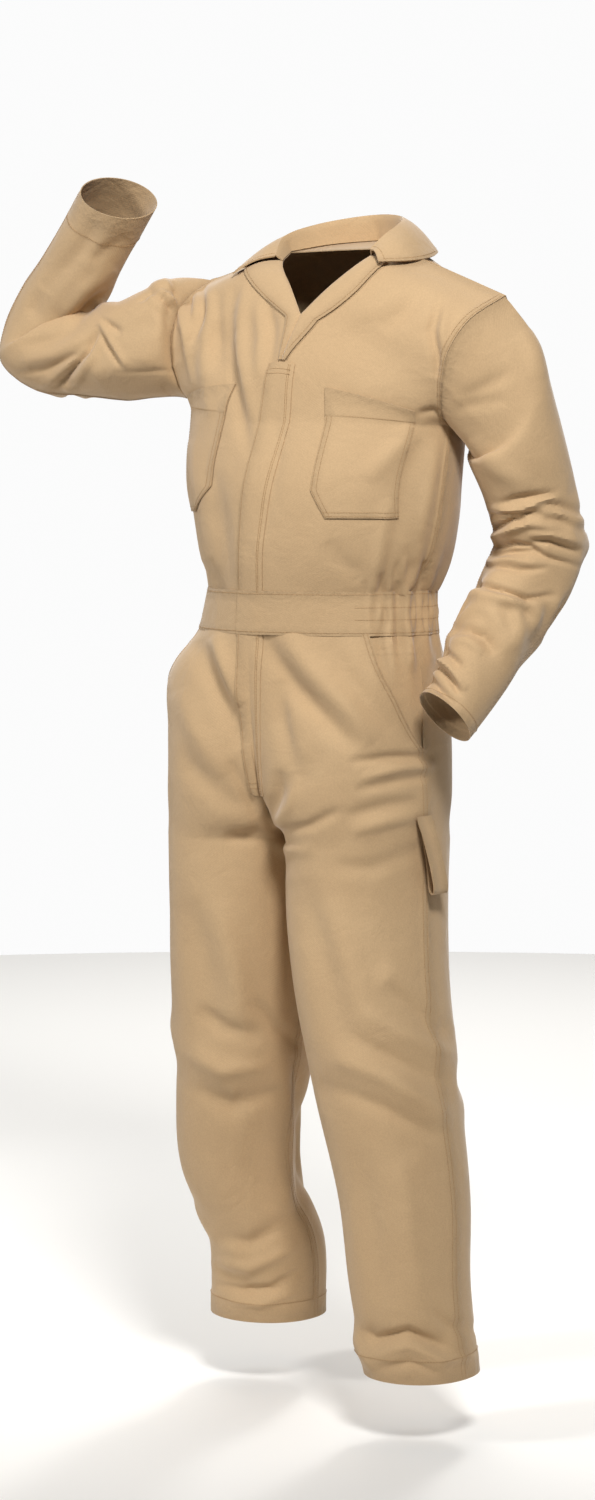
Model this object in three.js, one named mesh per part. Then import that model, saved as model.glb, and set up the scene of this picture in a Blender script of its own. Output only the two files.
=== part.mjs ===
// A boiler suit as it is worn: open collar, left arm down, right arm raised, legs a step apart.
// Millimetres, +Z up, front towards -Y, the wearer's left towards +X, origin at the base of the neck.
import * as THREE from "three";

// Driving sizes of the cloth and its seams
const CLOTH = 1.6;
const SEAM_GAP = 0.3;
const ARMHOLE_GAP = 0.8;
const LAYER = CLOTH + 0.7;
const POCKET_LIFT = CLOTH + 1.3;
const FLY_LIFT = CLOTH + 1.6;
const QUARTER = 0.5523;
const HALF = 4 / 3;
const LEFT = 1;
const RIGHT = -1;

// Driving sizes of the small pieces
const PLACKET_HALF = 18;
const FLY_HALF = 17;
const FLY_END = 0.262;
const BREAK_AT = 0.6;
const GORGE_AT = 0.92;
const NECK_AT = 0.8;
const V_AT = 0.7;
const ARMPIT_AT = 0.5;
const CROTCH_AT = 0.34;
const COLLAR_PUFF = 5;
const FACING_DEPTH = 1.4;
const TOP_EASE = 0.0006;

// Sections of the body, from the waistband's lower edge up to the armpits
const WAIST_LOW = { z: -478, x: -31, y: -3, left: 168, right: 177, front: 126, back: 122, twist: 6.5 };
const BODY = [
  { at: 0, z: -430, x: -27, y: -4, left: 162, right: 160, front: 130, back: 118, twist: 6 },
  { at: 0.1, z: -392, x: -22, y: -3, left: 177, right: 171, front: 140, back: 132, twist: 5 },
  { at: 0.24, z: -338, x: -16, y: -6, left: 187, right: 187, front: 142, back: 136, twist: 4 },
  { at: 0.37, z: -286, x: -12, y: -9, left: 188, right: 203, front: 138, back: 136, twist: 2 },
  { at: 0.5, z: -215, x: -5, y: -5, left: 181, right: 209, front: 123, back: 134, twist: 0 },
];

// Armholes: a row for each station from the armpit to the shoulder tip, front and back
const ARMHOLE = {
  left: [
    { at: 0.5, front: [176, -2, -220], back: [176, -2, -220] },
    { at: 0.6, front: [184, -36, -204], back: [178, 36, -209] },
    { at: 0.7, front: [200, -58, -165], back: [188, 60, -180] },
    { at: 0.8, front: [214, -62, -128], back: [206, 70, -142] },
    { at: 0.9, front: [232, -42, -90], back: [233, 54, -98] },
    { at: 1, front: [247, 12, -60], back: [247, 12, -60] },
  ],
  right: [
    { at: 0.5, front: [-214, -8, -192], back: [-214, -8, -192] },
    { at: 0.6, front: [-220, -45, -176], back: [-216, 40, -178] },
    { at: 0.7, front: [-224, -66, -140], back: [-216, 66, -142] },
    { at: 0.8, front: [-224, -68, -100], back: [-216, 68, -100] },
    { at: 0.9, front: [-220, -46, -56], back: [-214, 46, -56] },
    { at: 1, front: [-212, 0, -26], back: [-212, 0, -26] },
  ],
};

// Bodice above the armpits: centre or neck edge, and how each row leaves its two ends
const BODICE_TOP = {
  frontLeft: [
    { at: 0.6, edge: [0, -120, -140], leave: [85, -2, -12], arrive: [-8, -40, 10] },
    { at: 0.7, edge: [12, -98, -82], leave: [72, 2, -14], arrive: [-34, -18, 12] },
    { at: 0.8, edge: [42, -74, -45], leave: [55, -10, -12], arrive: [-48, -10, 18] },
    { at: 0.9, edge: [70, -40, -12], leave: [45, -14, -14], arrive: [-50, -7, 22] },
    { at: 1, edge: [80, 0, 5], leave: [50, 0, -16], arrive: [-50, -2, 20] },
  ],
  frontRight: [
    { at: 0.6, edge: [0, -120, -140], leave: [-85, -2, 0], arrive: [10, -38, 6] },
    { at: 0.7, edge: [12, -98, -82], leave: [-90, 4, 0], arrive: [36, -20, 8] },
    { at: 0.8, edge: [-24, -72, -46], leave: [-60, -14, 0], arrive: [46, -12, 8] },
    { at: 0.9, edge: [-62, -42, -14], leave: [-50, -18, 0], arrive: [45, -9, 10] },
    { at: 1, edge: [-80, 0, 5], leave: [-45, 0, -6], arrive: [45, 0, 8] },
  ],
  backLeft: [
    { at: 0.6, edge: [-4, 130, -148], leave: [100, 4, 0], arrive: [-10, 40, 8] },
    { at: 0.7, edge: [-2, 118, -66], leave: [90, 6, -6], arrive: [-40, 16, 8] },
    { at: 0.8, edge: [0, 82, 20], leave: [42, 2, 0], arrive: [-55, 9, 16] },
    { at: 0.9, edge: [52, 56, 16], leave: [44, 12, -12], arrive: [-52, 6, 22] },
    { at: 1, edge: [80, 0, 5], leave: [50, 0, -16], arrive: [-50, -2, 20] },
  ],
  backRight: [
    { at: 0.6, edge: [-4, 130, -148], leave: [-100, 4, 0], arrive: [12, 40, 6] },
    { at: 0.7, edge: [-2, 118, -66], leave: [-90, 6, 0], arrive: [36, 20, 8] },
    { at: 0.8, edge: [0, 82, 20], leave: [-42, 2, 0], arrive: [46, 13, 10] },
    { at: 0.9, edge: [-52, 56, 16], leave: [-44, 12, -6], arrive: [46, 9, 12] },
    { at: 1, edge: [-80, 0, 5], leave: [-45, 0, -6], arrive: [45, 0, 8] },
  ],
};

// Trousers above the crotch: fork edges, side seams, and how each row leaves its two ends
const SEAT = [
  { at: 0.08, z: -540, front: [-46, -127], back: [-26, 128], left: [144, -18], right: [-250, -2],
    leave: [92, 15], arrive: 95 },
  { at: 0.16, z: -610, front: [-47, -119], back: [-32, 128], left: [144, -16], right: [-242, -3],
    leave: [86, 40], arrive: 114 },
  { at: 0.22, z: -655, front: [-47, -111], back: [-38, 120], left: [146, -13], right: [-240, -4],
    leave: [70, 52], arrive: 124 },
  { at: 0.27, z: -695, front: [-47, -98], back: [-42, 102], left: [147, -10], right: [-241, -5],
    leave: [50, 66], arrive: 132 },
  { at: 0.31, z: -727, front: [-47, -66], back: [-46, 66], left: [145, -8], right: [-241, -6],
    leave: [22, 92], arrive: 142 },
  { at: 0.34, z: -748, front: [-47, 2], back: [-47, 2], left: [144, -6], right: [-240, -7],
    leave: [0, 156], arrive: 156 },
];

// Legs below the crotch: a row for each section, its centre and its half sizes
const LEGS = {
  left: [
    { at: 0.42, z: -820, x: 50, y: -8, wide: 95, deep: 114 },
    { at: 0.52, z: -920, x: 69, y: -24, wide: 92, deep: 108 },
    { at: 0.66, z: -1060, x: 108, y: -42, wide: 88, deep: 96 },
    { at: 0.8, z: -1200, x: 141, y: -48, wide: 79, deep: 85 },
    { at: 0.9, z: -1300, x: 154, y: -55, wide: 73, deep: 79 },
    { at: 1, z: -1410, x: 173, y: -55, wide: 69, deep: 75 },
  ],
  right: [
    { at: 0.42, z: -820, x: -146, y: -5, wide: 94, deep: 115 },
    { at: 0.52, z: -920, x: -148, y: -8, wide: 93, deep: 106 },
    { at: 0.66, z: -1060, x: -155, y: -6, wide: 85, deep: 92 },
    { at: 0.8, z: -1200, x: -175, y: 12, wide: 75, deep: 80 },
    { at: 0.9, z: -1300, x: -158, y: 46, wide: 75, deep: 76 },
    { at: 1, z: -1403, x: -166, y: 60, wide: 76, deep: 74 },
  ],
};

// Sleeves: a row for each section, the shoulder side, the underarm side and half the depth between
const SLEEVES = {
  left: [
    { near: [268, 46, -114], far: [208, 4, -256], deep: 56 },
    { near: [282, 75, -200], far: [198, 8, -266], deep: 69 },
    { near: [294, 99, -290], far: [205, 30, -312], deep: 64 },
    { near: [300, 116, -368], far: [208, 46, -362], deep: 62 },
    { near: [286, 98, -428], far: [203, 36, -396], deep: 60 },
    { near: [271, 63, -480], far: [196, 6, -438], deep: 57 },
    { near: [253, 19, -539], far: [189, -30, -494], deep: 53 },
    { near: [236, -14, -584], far: [184, -55, -538], deep: 48 },
    { near: [225, -34, -609], far: [181, -69, -551], deep: 44 },
  ],
  right: [
    { near: [-250, -26, -24], far: [-244, -20, -178], deep: 70 },
    { near: [-292, -35, -38], far: [-285, -30, -178], deep: 68 },
    { near: [-331, -33, -52], far: [-337, -37, -182], deep: 65 },
    { near: [-370, -26, -59], far: [-398, -48, -176], deep: 63 },
    { near: [-394, -13, -65], far: [-466, -67, -165], deep: 62 },
    { near: [-408, 0, -62], far: [-512, -80, -130], deep: 60 },
    { near: [-404, -1, -54], far: [-505, -82, -84], deep: 58 },
    { near: [-386, -12, -43], far: [-475, -81, -34], deep: 54 },
    { near: [-356, -26, -21], far: [-434, -86, 5], deep: 51 },
    { near: [-322, -37, 10], far: [-393, -92, 47], deep: 49 },
    { near: [-268, -47, 70], far: [-345, -107, 91], deep: 47 },
  ],
};
const SLEEVE_TURN = { left: 15, right: 0 };

// Collar: from the right front end round the back to the left one, its fold and its outer edge
const COLLAR = [
  { at: 0, fold: [-72, -40, -2], edge: [-126, -60, -18] },
  { at: 0.14, fold: [-84, -8, 24], edge: [-140, -18, -6] },
  { at: 0.3, fold: [-70, 40, 42], edge: [-118, 62, 4] },
  { at: 0.5, fold: [0, 74, 54], edge: [0, 110, 12] },
  { at: 0.68, fold: [66, 42, 46], edge: [98, 70, 4] },
  { at: 0.8, fold: [84, 8, 34], edge: [123, 25, -7] },
  { at: 0.91, fold: [84, -22, 18], edge: [124, -22, -14] },
  { at: 1, fold: [78, -40, 0], edge: [100, -54, -16] },
];

// Lapels: width from the roll line at each station
const LAPELS = {
  left: [{ at: 0.6, wide: [4] }, { at: 0.68, wide: [22] }, { at: 0.8, wide: [42] }, { at: 0.92, wide: [34] }],
  right: [{ at: 0.6, wide: [4] }, { at: 0.68, wide: [16] }, { at: 0.8, wide: [46] }, { at: 0.92, wide: [54] }],
};

// Chest pockets: their two edges from the centre front at each station, clipped below
const POCKETS = {
  left: [{ at: 0.25, edges: [94, 190] }, { at: 0.34, edges: [70, 184] }, { at: 0.57, edges: [58, 170] }],
  right: [{ at: 0.27, edges: [112, 196] }, { at: 0.35, edges: [78, 196] }, { at: 0.57, edges: [72, 186] }],
};

// Slant pocket mouths: how far across the trouser front, as a share of its width
const MOUTH = [
  { at: 0, share: [0.67] }, { at: 0.06, share: [0.73] }, { at: 0.12, share: [0.86] }, { at: 0.185, share: [1] },
];

// Strap loop: down its front, round the bottom and back up behind it
const LOOP = {
  topAt: 0.288,
  wide: 30,
  out: [1, 0, 0],
  path: [
    { down: 0, off: 4.8, back: 0, drift: 0 },
    { down: 10, off: 7.4, back: 0, drift: 1 },
    { down: 27, off: 13.5, back: 0, drift: 2 },
    { down: 60, off: 20, back: 0, drift: 7 },
    { down: 88, off: 22, back: 0.2, drift: 11 },
    { down: 97, off: 17, back: 0.5, drift: 12 },
    { down: 90, off: 10, back: 0.8, drift: 11 },
    { down: 60, off: 8, back: 1, drift: 7 },
    { down: 27, off: 5.4, back: 1, drift: 2 },
    { down: 4, off: 2.5, back: 1, drift: 0 },
  ],
};

// Largest folds and hollows: a capsule from one end to the other, and the push at its middle
const FOLDS = [
  // left sleeve, above, at and below the elbow
  { from: [234, 24, -317], to: [297, 73, -300], width: 13, push: [-4.5, 5.5, 0] },
  { from: [246, 17, -344], to: [310, 68, -351], width: 14, push: [4.5, -5.5, 0] },
  { from: [220, 32, -375], to: [299, 108, -392], width: 13, push: [-4.5, 5.5, 0] },
  { from: [232, 8, -404], to: [290, 60, -440], width: 15, push: [4, -5, 0] },
  { from: [215, 0, -446], to: [262, 34, -486], width: 13, push: [-4, 4.5, 0] },
  { from: [256, 24, -150], to: [282, 36, -262], width: 24, push: [4, -4, 0] },
  { from: [240, 110, -300], to: [292, 120, -330], width: 16, push: [0, -6, 0] },
  { from: [246, 140, -352], to: [300, 122, -372], width: 16, push: [2, 6, 0] },
  // right sleeve, from the shoulder to the bent elbow
  { from: [-368, -66, -125], to: [-400, -92, -168], width: 13, push: [-4.5, 5.5, 0] },
  { from: [-356, -56, -73], to: [-362, -60, -106], width: 12, push: [-3, 6, 0] },
  { from: [-322, -78, -84], to: [-238, -62, -56], width: 16, push: [2, -5, 2] },
  { from: [-324, -88, -116], to: [-248, -86, -88], width: 15, push: [-2, 6, 0] },
  { from: [-330, -92, -148], to: [-250, -88, -130], width: 17, push: [1, -5, -1] },
  { from: [-438, -96, -60], to: [-402, -84, -18], width: 14, push: [-4, 4, 0] },
  { from: [-330, 26, -90], to: [-420, 4, -120], width: 18, push: [0, -6, 0] },
  // right chest, drawn towards the raised arm
  { from: [-196, -80, -82], to: [-132, -118, -190], width: 17, push: [-2, -5, 0] },
  { from: [-168, -82, -62], to: [-100, -116, -160], width: 16, push: [1, 5.5, 0] },
  // back, drawn the same way and hollow between the shoulders
  { from: [-196, 86, -90], to: [-110, 128, -210], width: 20, push: [0, 6, 0] },
  { from: [-176, 92, -60], to: [-70, 126, -150], width: 18, push: [0, -5, 0] },
  { from: [190, 78, -150], to: [120, 126, -260], width: 20, push: [0, 5, 0] },
  // lap, from the fork to the hips
  { from: [-30, -124, -706], to: [62, -148, -640], width: 17, push: [0, 5.5, 0] },
  { from: [-62, -124, -706], to: [-150, -142, -650], width: 17, push: [0, 5.5, 0] },
  { from: [-34, 116, -716], to: [60, 150, -770], width: 20, push: [0, -6, 0] },
  { from: [-60, 116, -716], to: [-150, 146, -776], width: 20, push: [0, -6, 0] },
  // left leg, at the knee and over the foot
  { from: [146, -86, -912], to: [178, -28, -969], width: 18, push: [5, -4, 0] },
  { from: [108, -132, -1006], to: [199, -58, -1074], width: 20, push: [3, -6, 0] },
  { from: [84, -128, -1052], to: [176, -96, -1116], width: 18, push: [-2, 5.5, 0] },
  { from: [90, 50, -1020], to: [176, 22, -1052], width: 18, push: [0, -7, 0] },
  { from: [100, 56, -1062], to: [190, 30, -1084], width: 18, push: [1, 6, 0] },
  { from: [156, -132, -1350], to: [227, -88, -1356], width: 15, push: [-4.5, 6, 0] },
  { from: [150, -134, -1376], to: [226, -92, -1384], width: 14, push: [3.5, -5, 0] },
  // right leg, the same
  { from: [-216, -62, -1006], to: [-112, -92, -1056], width: 22, push: [-2, -6, 0] },
  { from: [-206, -66, -1058], to: [-112, -80, -1112], width: 18, push: [0, 5.5, 0] },
  { from: [-214, 66, -1010], to: [-110, 80, -1046], width: 18, push: [0, -7, 0] },
  { from: [-230, -6, -1262], to: [-150, -24, -1300], width: 17, push: [-3, -6, 0] },
  { from: [-188, -18, -1334], to: [-138, -24, -1350], width: 14, push: [-3, 5, 0] },
];

// Gathers of the elastic waist: soft ridges through the band from the left side round the back
const GATHERS = { count: 11, fromAngle: -14, toAngle: 188, wide: 150, deep: 121, width: 13, push: 4.5 };
for (let k = 0; k < GATHERS.count; k += 1) {
  const share = k / (GATHERS.count - 1);
  const angle = ((GATHERS.fromAngle + (GATHERS.toAngle - GATHERS.fromAngle) * share) * Math.PI) / 180;
  const [c, d] = [Math.cos(angle), Math.sin(angle)];
  const spot = (grow, z) => [-28 + (GATHERS.wide + grow) * c, -4 + (GATHERS.deep + grow) * d, z];
  const reach = 20 + 26 * Math.abs(Math.sin(3.1 * k + 0.4));
  FOLDS.push({
    from: spot(14, -430 + reach), to: spot(20, -480 - reach), width: GATHERS.width,
    push: [GATHERS.push * c, GATHERS.push * d, 0],
  });
}

// Rows of cells along each kind of panel
const STEPS = { across: 9, sleeve: 24, collar: 5 };
const BODICE_ROWS = stations([[0, 8], [0.5, 5], [0.8, 5], [1, 0]]);
const TROUSER_ROWS = stations([[0, 3], [0.16, 5], [0.34, 3], [0.52, 5], [0.8, 5], [1, 0]]);

const CLOTH_FINISH = { colour: 0xc2a078, roughness: 0.86 };

const suit = new THREE.Group();
const sheets = [];

/** Evenly spaced stations between named places, each with the number of cells that follows it. */
function stations(places) {
  const found = [];
  for (let i = 0; i + 1 < places.length; i += 1) {
    const [from, cells] = places[i];
    const to = places[i + 1][0];
    for (let k = 0; k < cells; k += 1) found.push(from + ((to - from) * k) / cells);
  }
  found.push(places[places.length - 1][0]);
  return found;
}

/** Evenly spaced stations from one place to another. */
function evenly(cells, from = 0, to = 1) {
  return stations([[from, cells], [to, 0]]);
}

const add = (a, b) => a.map((value, i) => value + b[i]);
const minus = (a, b) => a.map((value, i) => value - b[i]);
const times = (a, k) => a.map((value) => value * k);
const dot = (a, b) => a[0] * b[0] + a[1] * b[1] + a[2] * b[2];
const cross = (a, b) => [a[1] * b[2] - a[2] * b[1], a[2] * b[0] - a[0] * b[2], a[0] * b[1] - a[1] * b[0]];
const size = (a) => Math.hypot(a[0], a[1], a[2]);
const unit = (a) => times(a, 1 / (size(a) || 1));
const mix = (a, b, k) => a.map((value, i) => value + (b[i] - value) * k);

/** A value of a table's column at a place between its rows, on a smooth curve through them. */
function along(rows, column, place, corners = []) {
  let i = 0;
  while (i < rows.length - 2 && place > rows[i + 1].at) i += 1;
  const [a, b] = [rows[i], rows[i + 1]];
  const span = b.at - a.at;
  const k = Math.min(1, Math.max(0, (place - a.at) / span));
  const chord = times(minus(b[column], a[column]), 1 / span);
  const slopeAt = (j) => {
    if (j === 0 || j === rows.length - 1 || corners.includes(rows[j].at)) return chord;
    const [p, q, r] = [rows[j - 1], rows[j], rows[j + 1]];
    const before = times(minus(q[column], p[column]), 1 / (q.at - p.at));
    const after = times(minus(r[column], q[column]), 1 / (r.at - q.at));
    return mix(before, after, (q.at - p.at) / (r.at - p.at));
  };
  const [m, n] = [times(slopeAt(i), span), times(slopeAt(i + 1), span)];
  const [k2, k3] = [k * k, k * k * k];
  return a[column].map((value, c) => value * (2 * k3 - 3 * k2 + 1) + m[c] * (k3 - 2 * k2 + k)
    + b[column][c] * (3 * k2 - 2 * k3) + n[c] * (k3 - k2));
}

/** A point of a cubic curve from a to d that leaves and arrives by the two pulls. */
function curve(a, leave, arrive, d, s) {
  const r = 1 - s;
  const [b, c] = [add(a, leave), add(d, arrive)];
  return a.map((value, i) => r * r * r * value + 3 * r * r * s * b[i] + 3 * r * s * s * c[i] + s * s * s * d[i]);
}

/** One quarter of a body section as a row: its centre edge, its side edge and their pulls. */
function quarterRow(section, side, face) {
  const turn = (-section.twist * Math.PI) / 180;
  const wide = side === LEFT ? section.left : section.right;
  const deep = face === "front" ? section.front : section.back;
  const away = face === "front" ? -1 : 1;
  const spin = (x, y) => [x * Math.cos(turn) - y * Math.sin(turn), x * Math.sin(turn) + y * Math.cos(turn), 0];
  const centre = [section.x, section.y, section.z];
  return {
    at: section.at,
    edge: add(centre, spin(0, away * deep)),
    leave: spin(side * wide * QUARTER, 0),
    arrive: spin(0, away * deep * QUARTER),
    outer: add(centre, spin(side * wide, 0)),
  };
}

const sideName = (side) => (side === LEFT ? "left" : "right");

/** All rows of one bodice quarter, from the waist to the shoulder seam. */
function bodiceRows(side, face) {
  const name = face + (side === LEFT ? "Left" : "Right");
  const holes = ARMHOLE[sideName(side)];
  const low = BODY.map((section) => quarterRow(section, side, face));
  low[low.length - 1].outer = holes[0][face];
  const high = BODICE_TOP[name].map((row) => ({
    ...row,
    outer: holes.find((hole) => hole.at === row.at)[face],
  }));
  return [...low, ...high];
}

/** All rows of one trouser quarter, from the waistband to the hem. */
function trouserRows(side, face) {
  const away = face === "front" ? -1 : 1;
  const top = { ...quarterRow(WAIST_LOW, side, face), at: 0 };
  const seat = SEAT.map((row) => ({
    at: row.at,
    edge: [...row[face], row.z],
    leave: [side * row.leave[0], away * row.leave[1], 0],
    arrive: [0, away * row.arrive, 0],
    outer: [...row[sideName(side)], row.z],
  }));
  const legs = LEGS[sideName(side)].map((row) => ({
    at: row.at,
    edge: [row.x - side * row.wide, row.y, row.z],
    leave: [0, away * HALF * row.deep, 0],
    arrive: [0, away * HALF * row.deep, 0],
    outer: [row.x + side * row.wide, row.y, row.z],
  }));
  return [top, ...seat, ...legs];
}

/** A panel as a function of how far across and how far along it a point lies. */
function panel(rows, corners) {
  return (s, t) => curve(along(rows, "edge", t, corners), along(rows, "leave", t, corners),
    along(rows, "arrive", t, corners), along(rows, "outer", t, corners), s);
}

/** The length of a panel's row, for places that are given in millimetres from its centre edge. */
function rowLength(surface, t) {
  let total = 0;
  for (let k = 0; k < 12; k += 1) total += size(minus(surface((k + 1) / 12, t), surface(k / 12, t)));
  return total;
}

/** Soft folds move every piece that they reach, so layers stay on each other. */
function folded(point) {
  let moved = point;
  for (const fold of FOLDS) {
    const spine = minus(fold.to, fold.from);
    const k = Math.min(1, Math.max(0, dot(minus(point, fold.from), spine) / dot(spine, spine)));
    const far = size(minus(point, add(fold.from, times(spine, k)))) / fold.width;
    if (far < 3) moved = add(moved, times(fold.push, Math.exp(-far * far)));
  }
  return moved;
}

/** A panel's unit normal, towards the outside of the garment. */
function normalOf(surface, s, t, facing) {
  const [d, e] = [0.02, 0.01];
  const across = minus(surface(Math.min(1, s + d), t), surface(Math.max(0, s - d), t));
  const up = minus(surface(s, Math.min(1, t + e)), surface(s, Math.max(0, t - e)));
  return times(unit(cross(across, up)), facing);
}

/** A place on a panel, moved out of it by a distance. */
function laidOn(surface, facing, s, t, out) {
  return add(surface(s, t), times(normalOf(surface, s, t, facing), out));
}

/** An open sheet of cloth: points and four-sided cells, all facing the same way. */
class Sheet {
  constructor(name, { seamed = true, gap = SEAM_GAP / 2 } = {}) {
    this.name = name;
    this.seamed = seamed;
    this.gap = gap;
    this.points = [];
    this.cells = [];
    this.index = new Map();
    sheets.push(this);
  }

  place(point) {
    const key = keyOf(point);
    if (!this.index.has(key)) {
      this.index.set(key, this.points.length);
      this.points.push(point);
    }
    return this.index.get(key);
  }

  /** Adds a grid of cells; facing turns them when the grid runs the other way round. */
  grid(rows, facing = 1) {
    const ids = rows.map((row) => row.map((point) => this.place(folded(point))));
    for (let j = 0; j + 1 < ids.length; j += 1) {
      for (let i = 0; i + 1 < ids[j].length; i += 1) {
        const [a, b, c, d] = [ids[j][i], ids[j][i + 1], ids[j + 1][i + 1], ids[j + 1][i]];
        this.cells.push(facing > 0 ? [a, b, c, d] : [a, d, c, b]);
      }
    }
    return this;
  }
}

const keyOf = (point) => point.map((value) => Math.round(value * 100)).join(",");

/** The outward direction at each of a sheet's points. */
function pointNormals(sheet) {
  const sums = sheet.points.map(() => [0, 0, 0]);
  for (const cell of sheet.cells) {
    const [a, b, c, d] = cell.map((id) => sheet.points[id]);
    const normal = cross(minus(c, a), minus(d, b));
    for (const id of cell) sums[id] = add(sums[id], normal);
  }
  return sums.map(unit);
}

/** The edges that belong to one cell only, in the cell's own direction. */
function openEdges(sheet) {
  const seen = new Map();
  for (const cell of sheet.cells) {
    for (let i = 0; i < cell.length; i += 1) {
      const [from, to] = [cell[i], cell[(i + 1) % cell.length]];
      if (seen.has(to + ":" + from)) seen.delete(to + ":" + from);
      else seen.set(from + ":" + to, [from, to]);
    }
  }
  return [...seen.values()];
}

/** Draws a sheet's edges back by half a seam gap, so that neighbours stay apart. */
function drawBack(sheet, normals) {
  const inwards = new Map();
  for (const [from, to] of openEdges(sheet)) {
    for (const id of [from, to]) {
      const way = unit(cross(normals[id], minus(sheet.points[to], sheet.points[from])));
      inwards.set(id, [...(inwards.get(id) ?? []), way]);
    }
  }
  const points = [...sheet.points];
  for (const [id, ways] of inwards) {
    const sum = ways.reduce(add, [0, 0, 0]);
    const reach = Math.max(0.5, dot(unit(sum), ways[0]));
    points[id] = add(points[id], times(unit(sum), sheet.gap / reach));
  }
  return points;
}

/** Gives a sheet its thickness as one closed body. */
function thicken(sheet, normals) {
  const middle = drawBack(sheet, normals);
  const count = middle.length;
  const corners = [
    ...middle.map((point, i) => add(point, times(normals[i], CLOTH / 2))),
    ...middle.map((point, i) => add(point, times(normals[i], -CLOTH / 2))),
  ];
  const faces = [];
  const quad = (a, b, c, d) => faces.push(a, b, c, a, c, d);
  for (const [a, b, c, d] of sheet.cells) {
    quad(a, b, c, d);
    faces.push(c + count, b + count, a + count, d + count, c + count, a + count);
  }
  for (const [from, to] of openEdges(sheet)) quad(to, from, from + count, to + count);
  const geometry = new THREE.BufferGeometry();
  geometry.setAttribute("position", new THREE.Float32BufferAttribute(corners.flat(), 3));
  geometry.setIndex(faces);
  geometry.computeVertexNormals();
  const finish = new THREE.MeshStandardMaterial({
    color: CLOTH_FINISH.colour, roughness: CLOTH_FINISH.roughness, metalness: 0,
  });
  const mesh = new THREE.Mesh(geometry, finish);
  mesh.name = sheet.name;
  suit.add(mesh);
}

/** Thickens all sheets; sheets that share a seam share its direction there. */
function sewTogether() {
  const shared = new Map();
  const own = sheets.map(pointNormals);
  sheets.forEach((sheet, n) => {
    if (!sheet.seamed) return;
    sheet.points.forEach((point, i) => {
      const key = keyOf(point);
      shared.set(key, add(shared.get(key) ?? [0, 0, 0], own[n][i]));
    });
  });
  sheets.forEach((sheet, n) => {
    const normals = sheet.points.map((point, i) => (sheet.seamed ? unit(shared.get(keyOf(point))) : own[n][i]));
    thicken(sheet, normals);
  });
}

// Panel surfaces
const BODICE = {};
const TROUSERS = {};
for (const side of [LEFT, RIGHT]) {
  for (const face of ["front", "back"]) {
    BODICE[face + side] = panel(bodiceRows(side, face), [ARMPIT_AT, face === "front" ? V_AT : NECK_AT]);
    TROUSERS[face + side] = panel(trouserRows(side, face), [CROTCH_AT]);
  }
}

/** A panel as its flat cells make it, so that what lies on it keeps clear of their edges. */
function faceted(surface, across, rows) {
  const grid = gridOf(surface, across, rows);
  return (s, t) => {
    const i = Math.min(across.length - 2, Math.max(0, across.filter((value) => value <= s).length - 1));
    const j = Math.min(rows.length - 2, Math.max(0, rows.filter((value) => value <= t).length - 1));
    const a = (s - across[i]) / (across[i + 1] - across[i]);
    const b = (t - rows[j]) / (rows[j + 1] - rows[j]);
    const [p, q, r, o] = [grid[j][i], grid[j][i + 1], grid[j + 1][i + 1], grid[j + 1][i]];
    if (a >= b) return add(p, add(times(minus(q, p), a), times(minus(r, q), b)));
    return add(p, add(times(minus(o, p), b), times(minus(r, o), a)));
  };
}

/** A panel's points at the given places across it and along it. */
const gridOf = (surface, across, rows) => rows.map((t) => across.map((s) => surface(s, t)));

const BODICE_CELLS = {};
const TROUSER_CELLS = {};
for (const key of Object.keys(BODICE)) {
  BODICE_CELLS[key] = faceted(BODICE[key], evenly(STEPS.across), BODICE_ROWS);
  TROUSER_CELLS[key] = faceted(TROUSERS[key], evenly(STEPS.across), TROUSER_ROWS);
}
for (const side of [LEFT, RIGHT]) {
  const front = TROUSERS["front" + side];
  TROUSER_CELLS["slanted" + side] = faceted((s, t) => front(s * mouthAt(t), t), evenly(STEPS.across), TROUSER_ROWS);
}

function makeBodice() {
  const across = evenly(STEPS.across);
  new Sheet("front_left").grid(gridOf(BODICE["front" + LEFT], across, BODICE_ROWS), 1);
  new Sheet("front_right").grid(gridOf(BODICE["front" + RIGHT], across, BODICE_ROWS), -1);
  new Sheet("back").grid(gridOf(BODICE["back" + LEFT], across, BODICE_ROWS), -1)
    .grid(gridOf(BODICE["back" + RIGHT], across, BODICE_ROWS), 1);
}

/** How far across the front a slant pocket's mouth lies; the full width below the pocket. */
function mouthAt(t) {
  return t >= MOUTH[MOUTH.length - 1].at ? 1 : along(MOUTH, "share", t)[0];
}

function makeTrousers() {
  const across = evenly(STEPS.across);
  for (const side of [LEFT, RIGHT]) {
    const [front, back] = [TROUSERS["front" + side], TROUSERS["back" + side]];
    new Sheet("trouser_back_" + sideName(side)).grid(gridOf(back, across, TROUSER_ROWS), side);
    new Sheet("trouser_front_" + sideName(side))
      .grid(TROUSER_ROWS.map((t) => across.map((s) => front(s * mouthAt(t), Math.max(t, TOP_EASE)))), -side);
    const cells = TROUSER_CELLS["front" + side];
    const rows = rowsBetween(TROUSER_ROWS, 0.003, MOUTH[MOUTH.length - 1].at + 0.02);
    new Sheet("pocket_facing_" + sideName(side), { seamed: false })
      .grid(rows.map((t) => evenly(4, mouthAt(t) - 0.04, 0.995)
        .map((s, i) => laidOn(cells, -side, s, t, -LAYER - FACING_DEPTH * (1.3 - i / 4)))), -side);
  }
}

/** The strap loop that hangs at the left side seam. */
function makeLoop() {
  const surface = TROUSER_CELLS["front" + LEFT];
  const [top, under] = [surface(0.965, LOOP.topAt), surface(0.99, LOOP.topAt + 0.004)];
  const out = unit(LOOP.out);
  const across = cross([0, 0, 1], out);
  const grid = LOOP.path.map((row) => [-0.5, 0, 0.5].map((k) => add(add(mix(top, under, row.back),
    [0, 0, -row.down]), add(times(out, row.off), times(across, k * LOOP.wide + row.drift)))));
  new Sheet("hammer_loop", { seamed: false }).grid(grid, 1);
}

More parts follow.
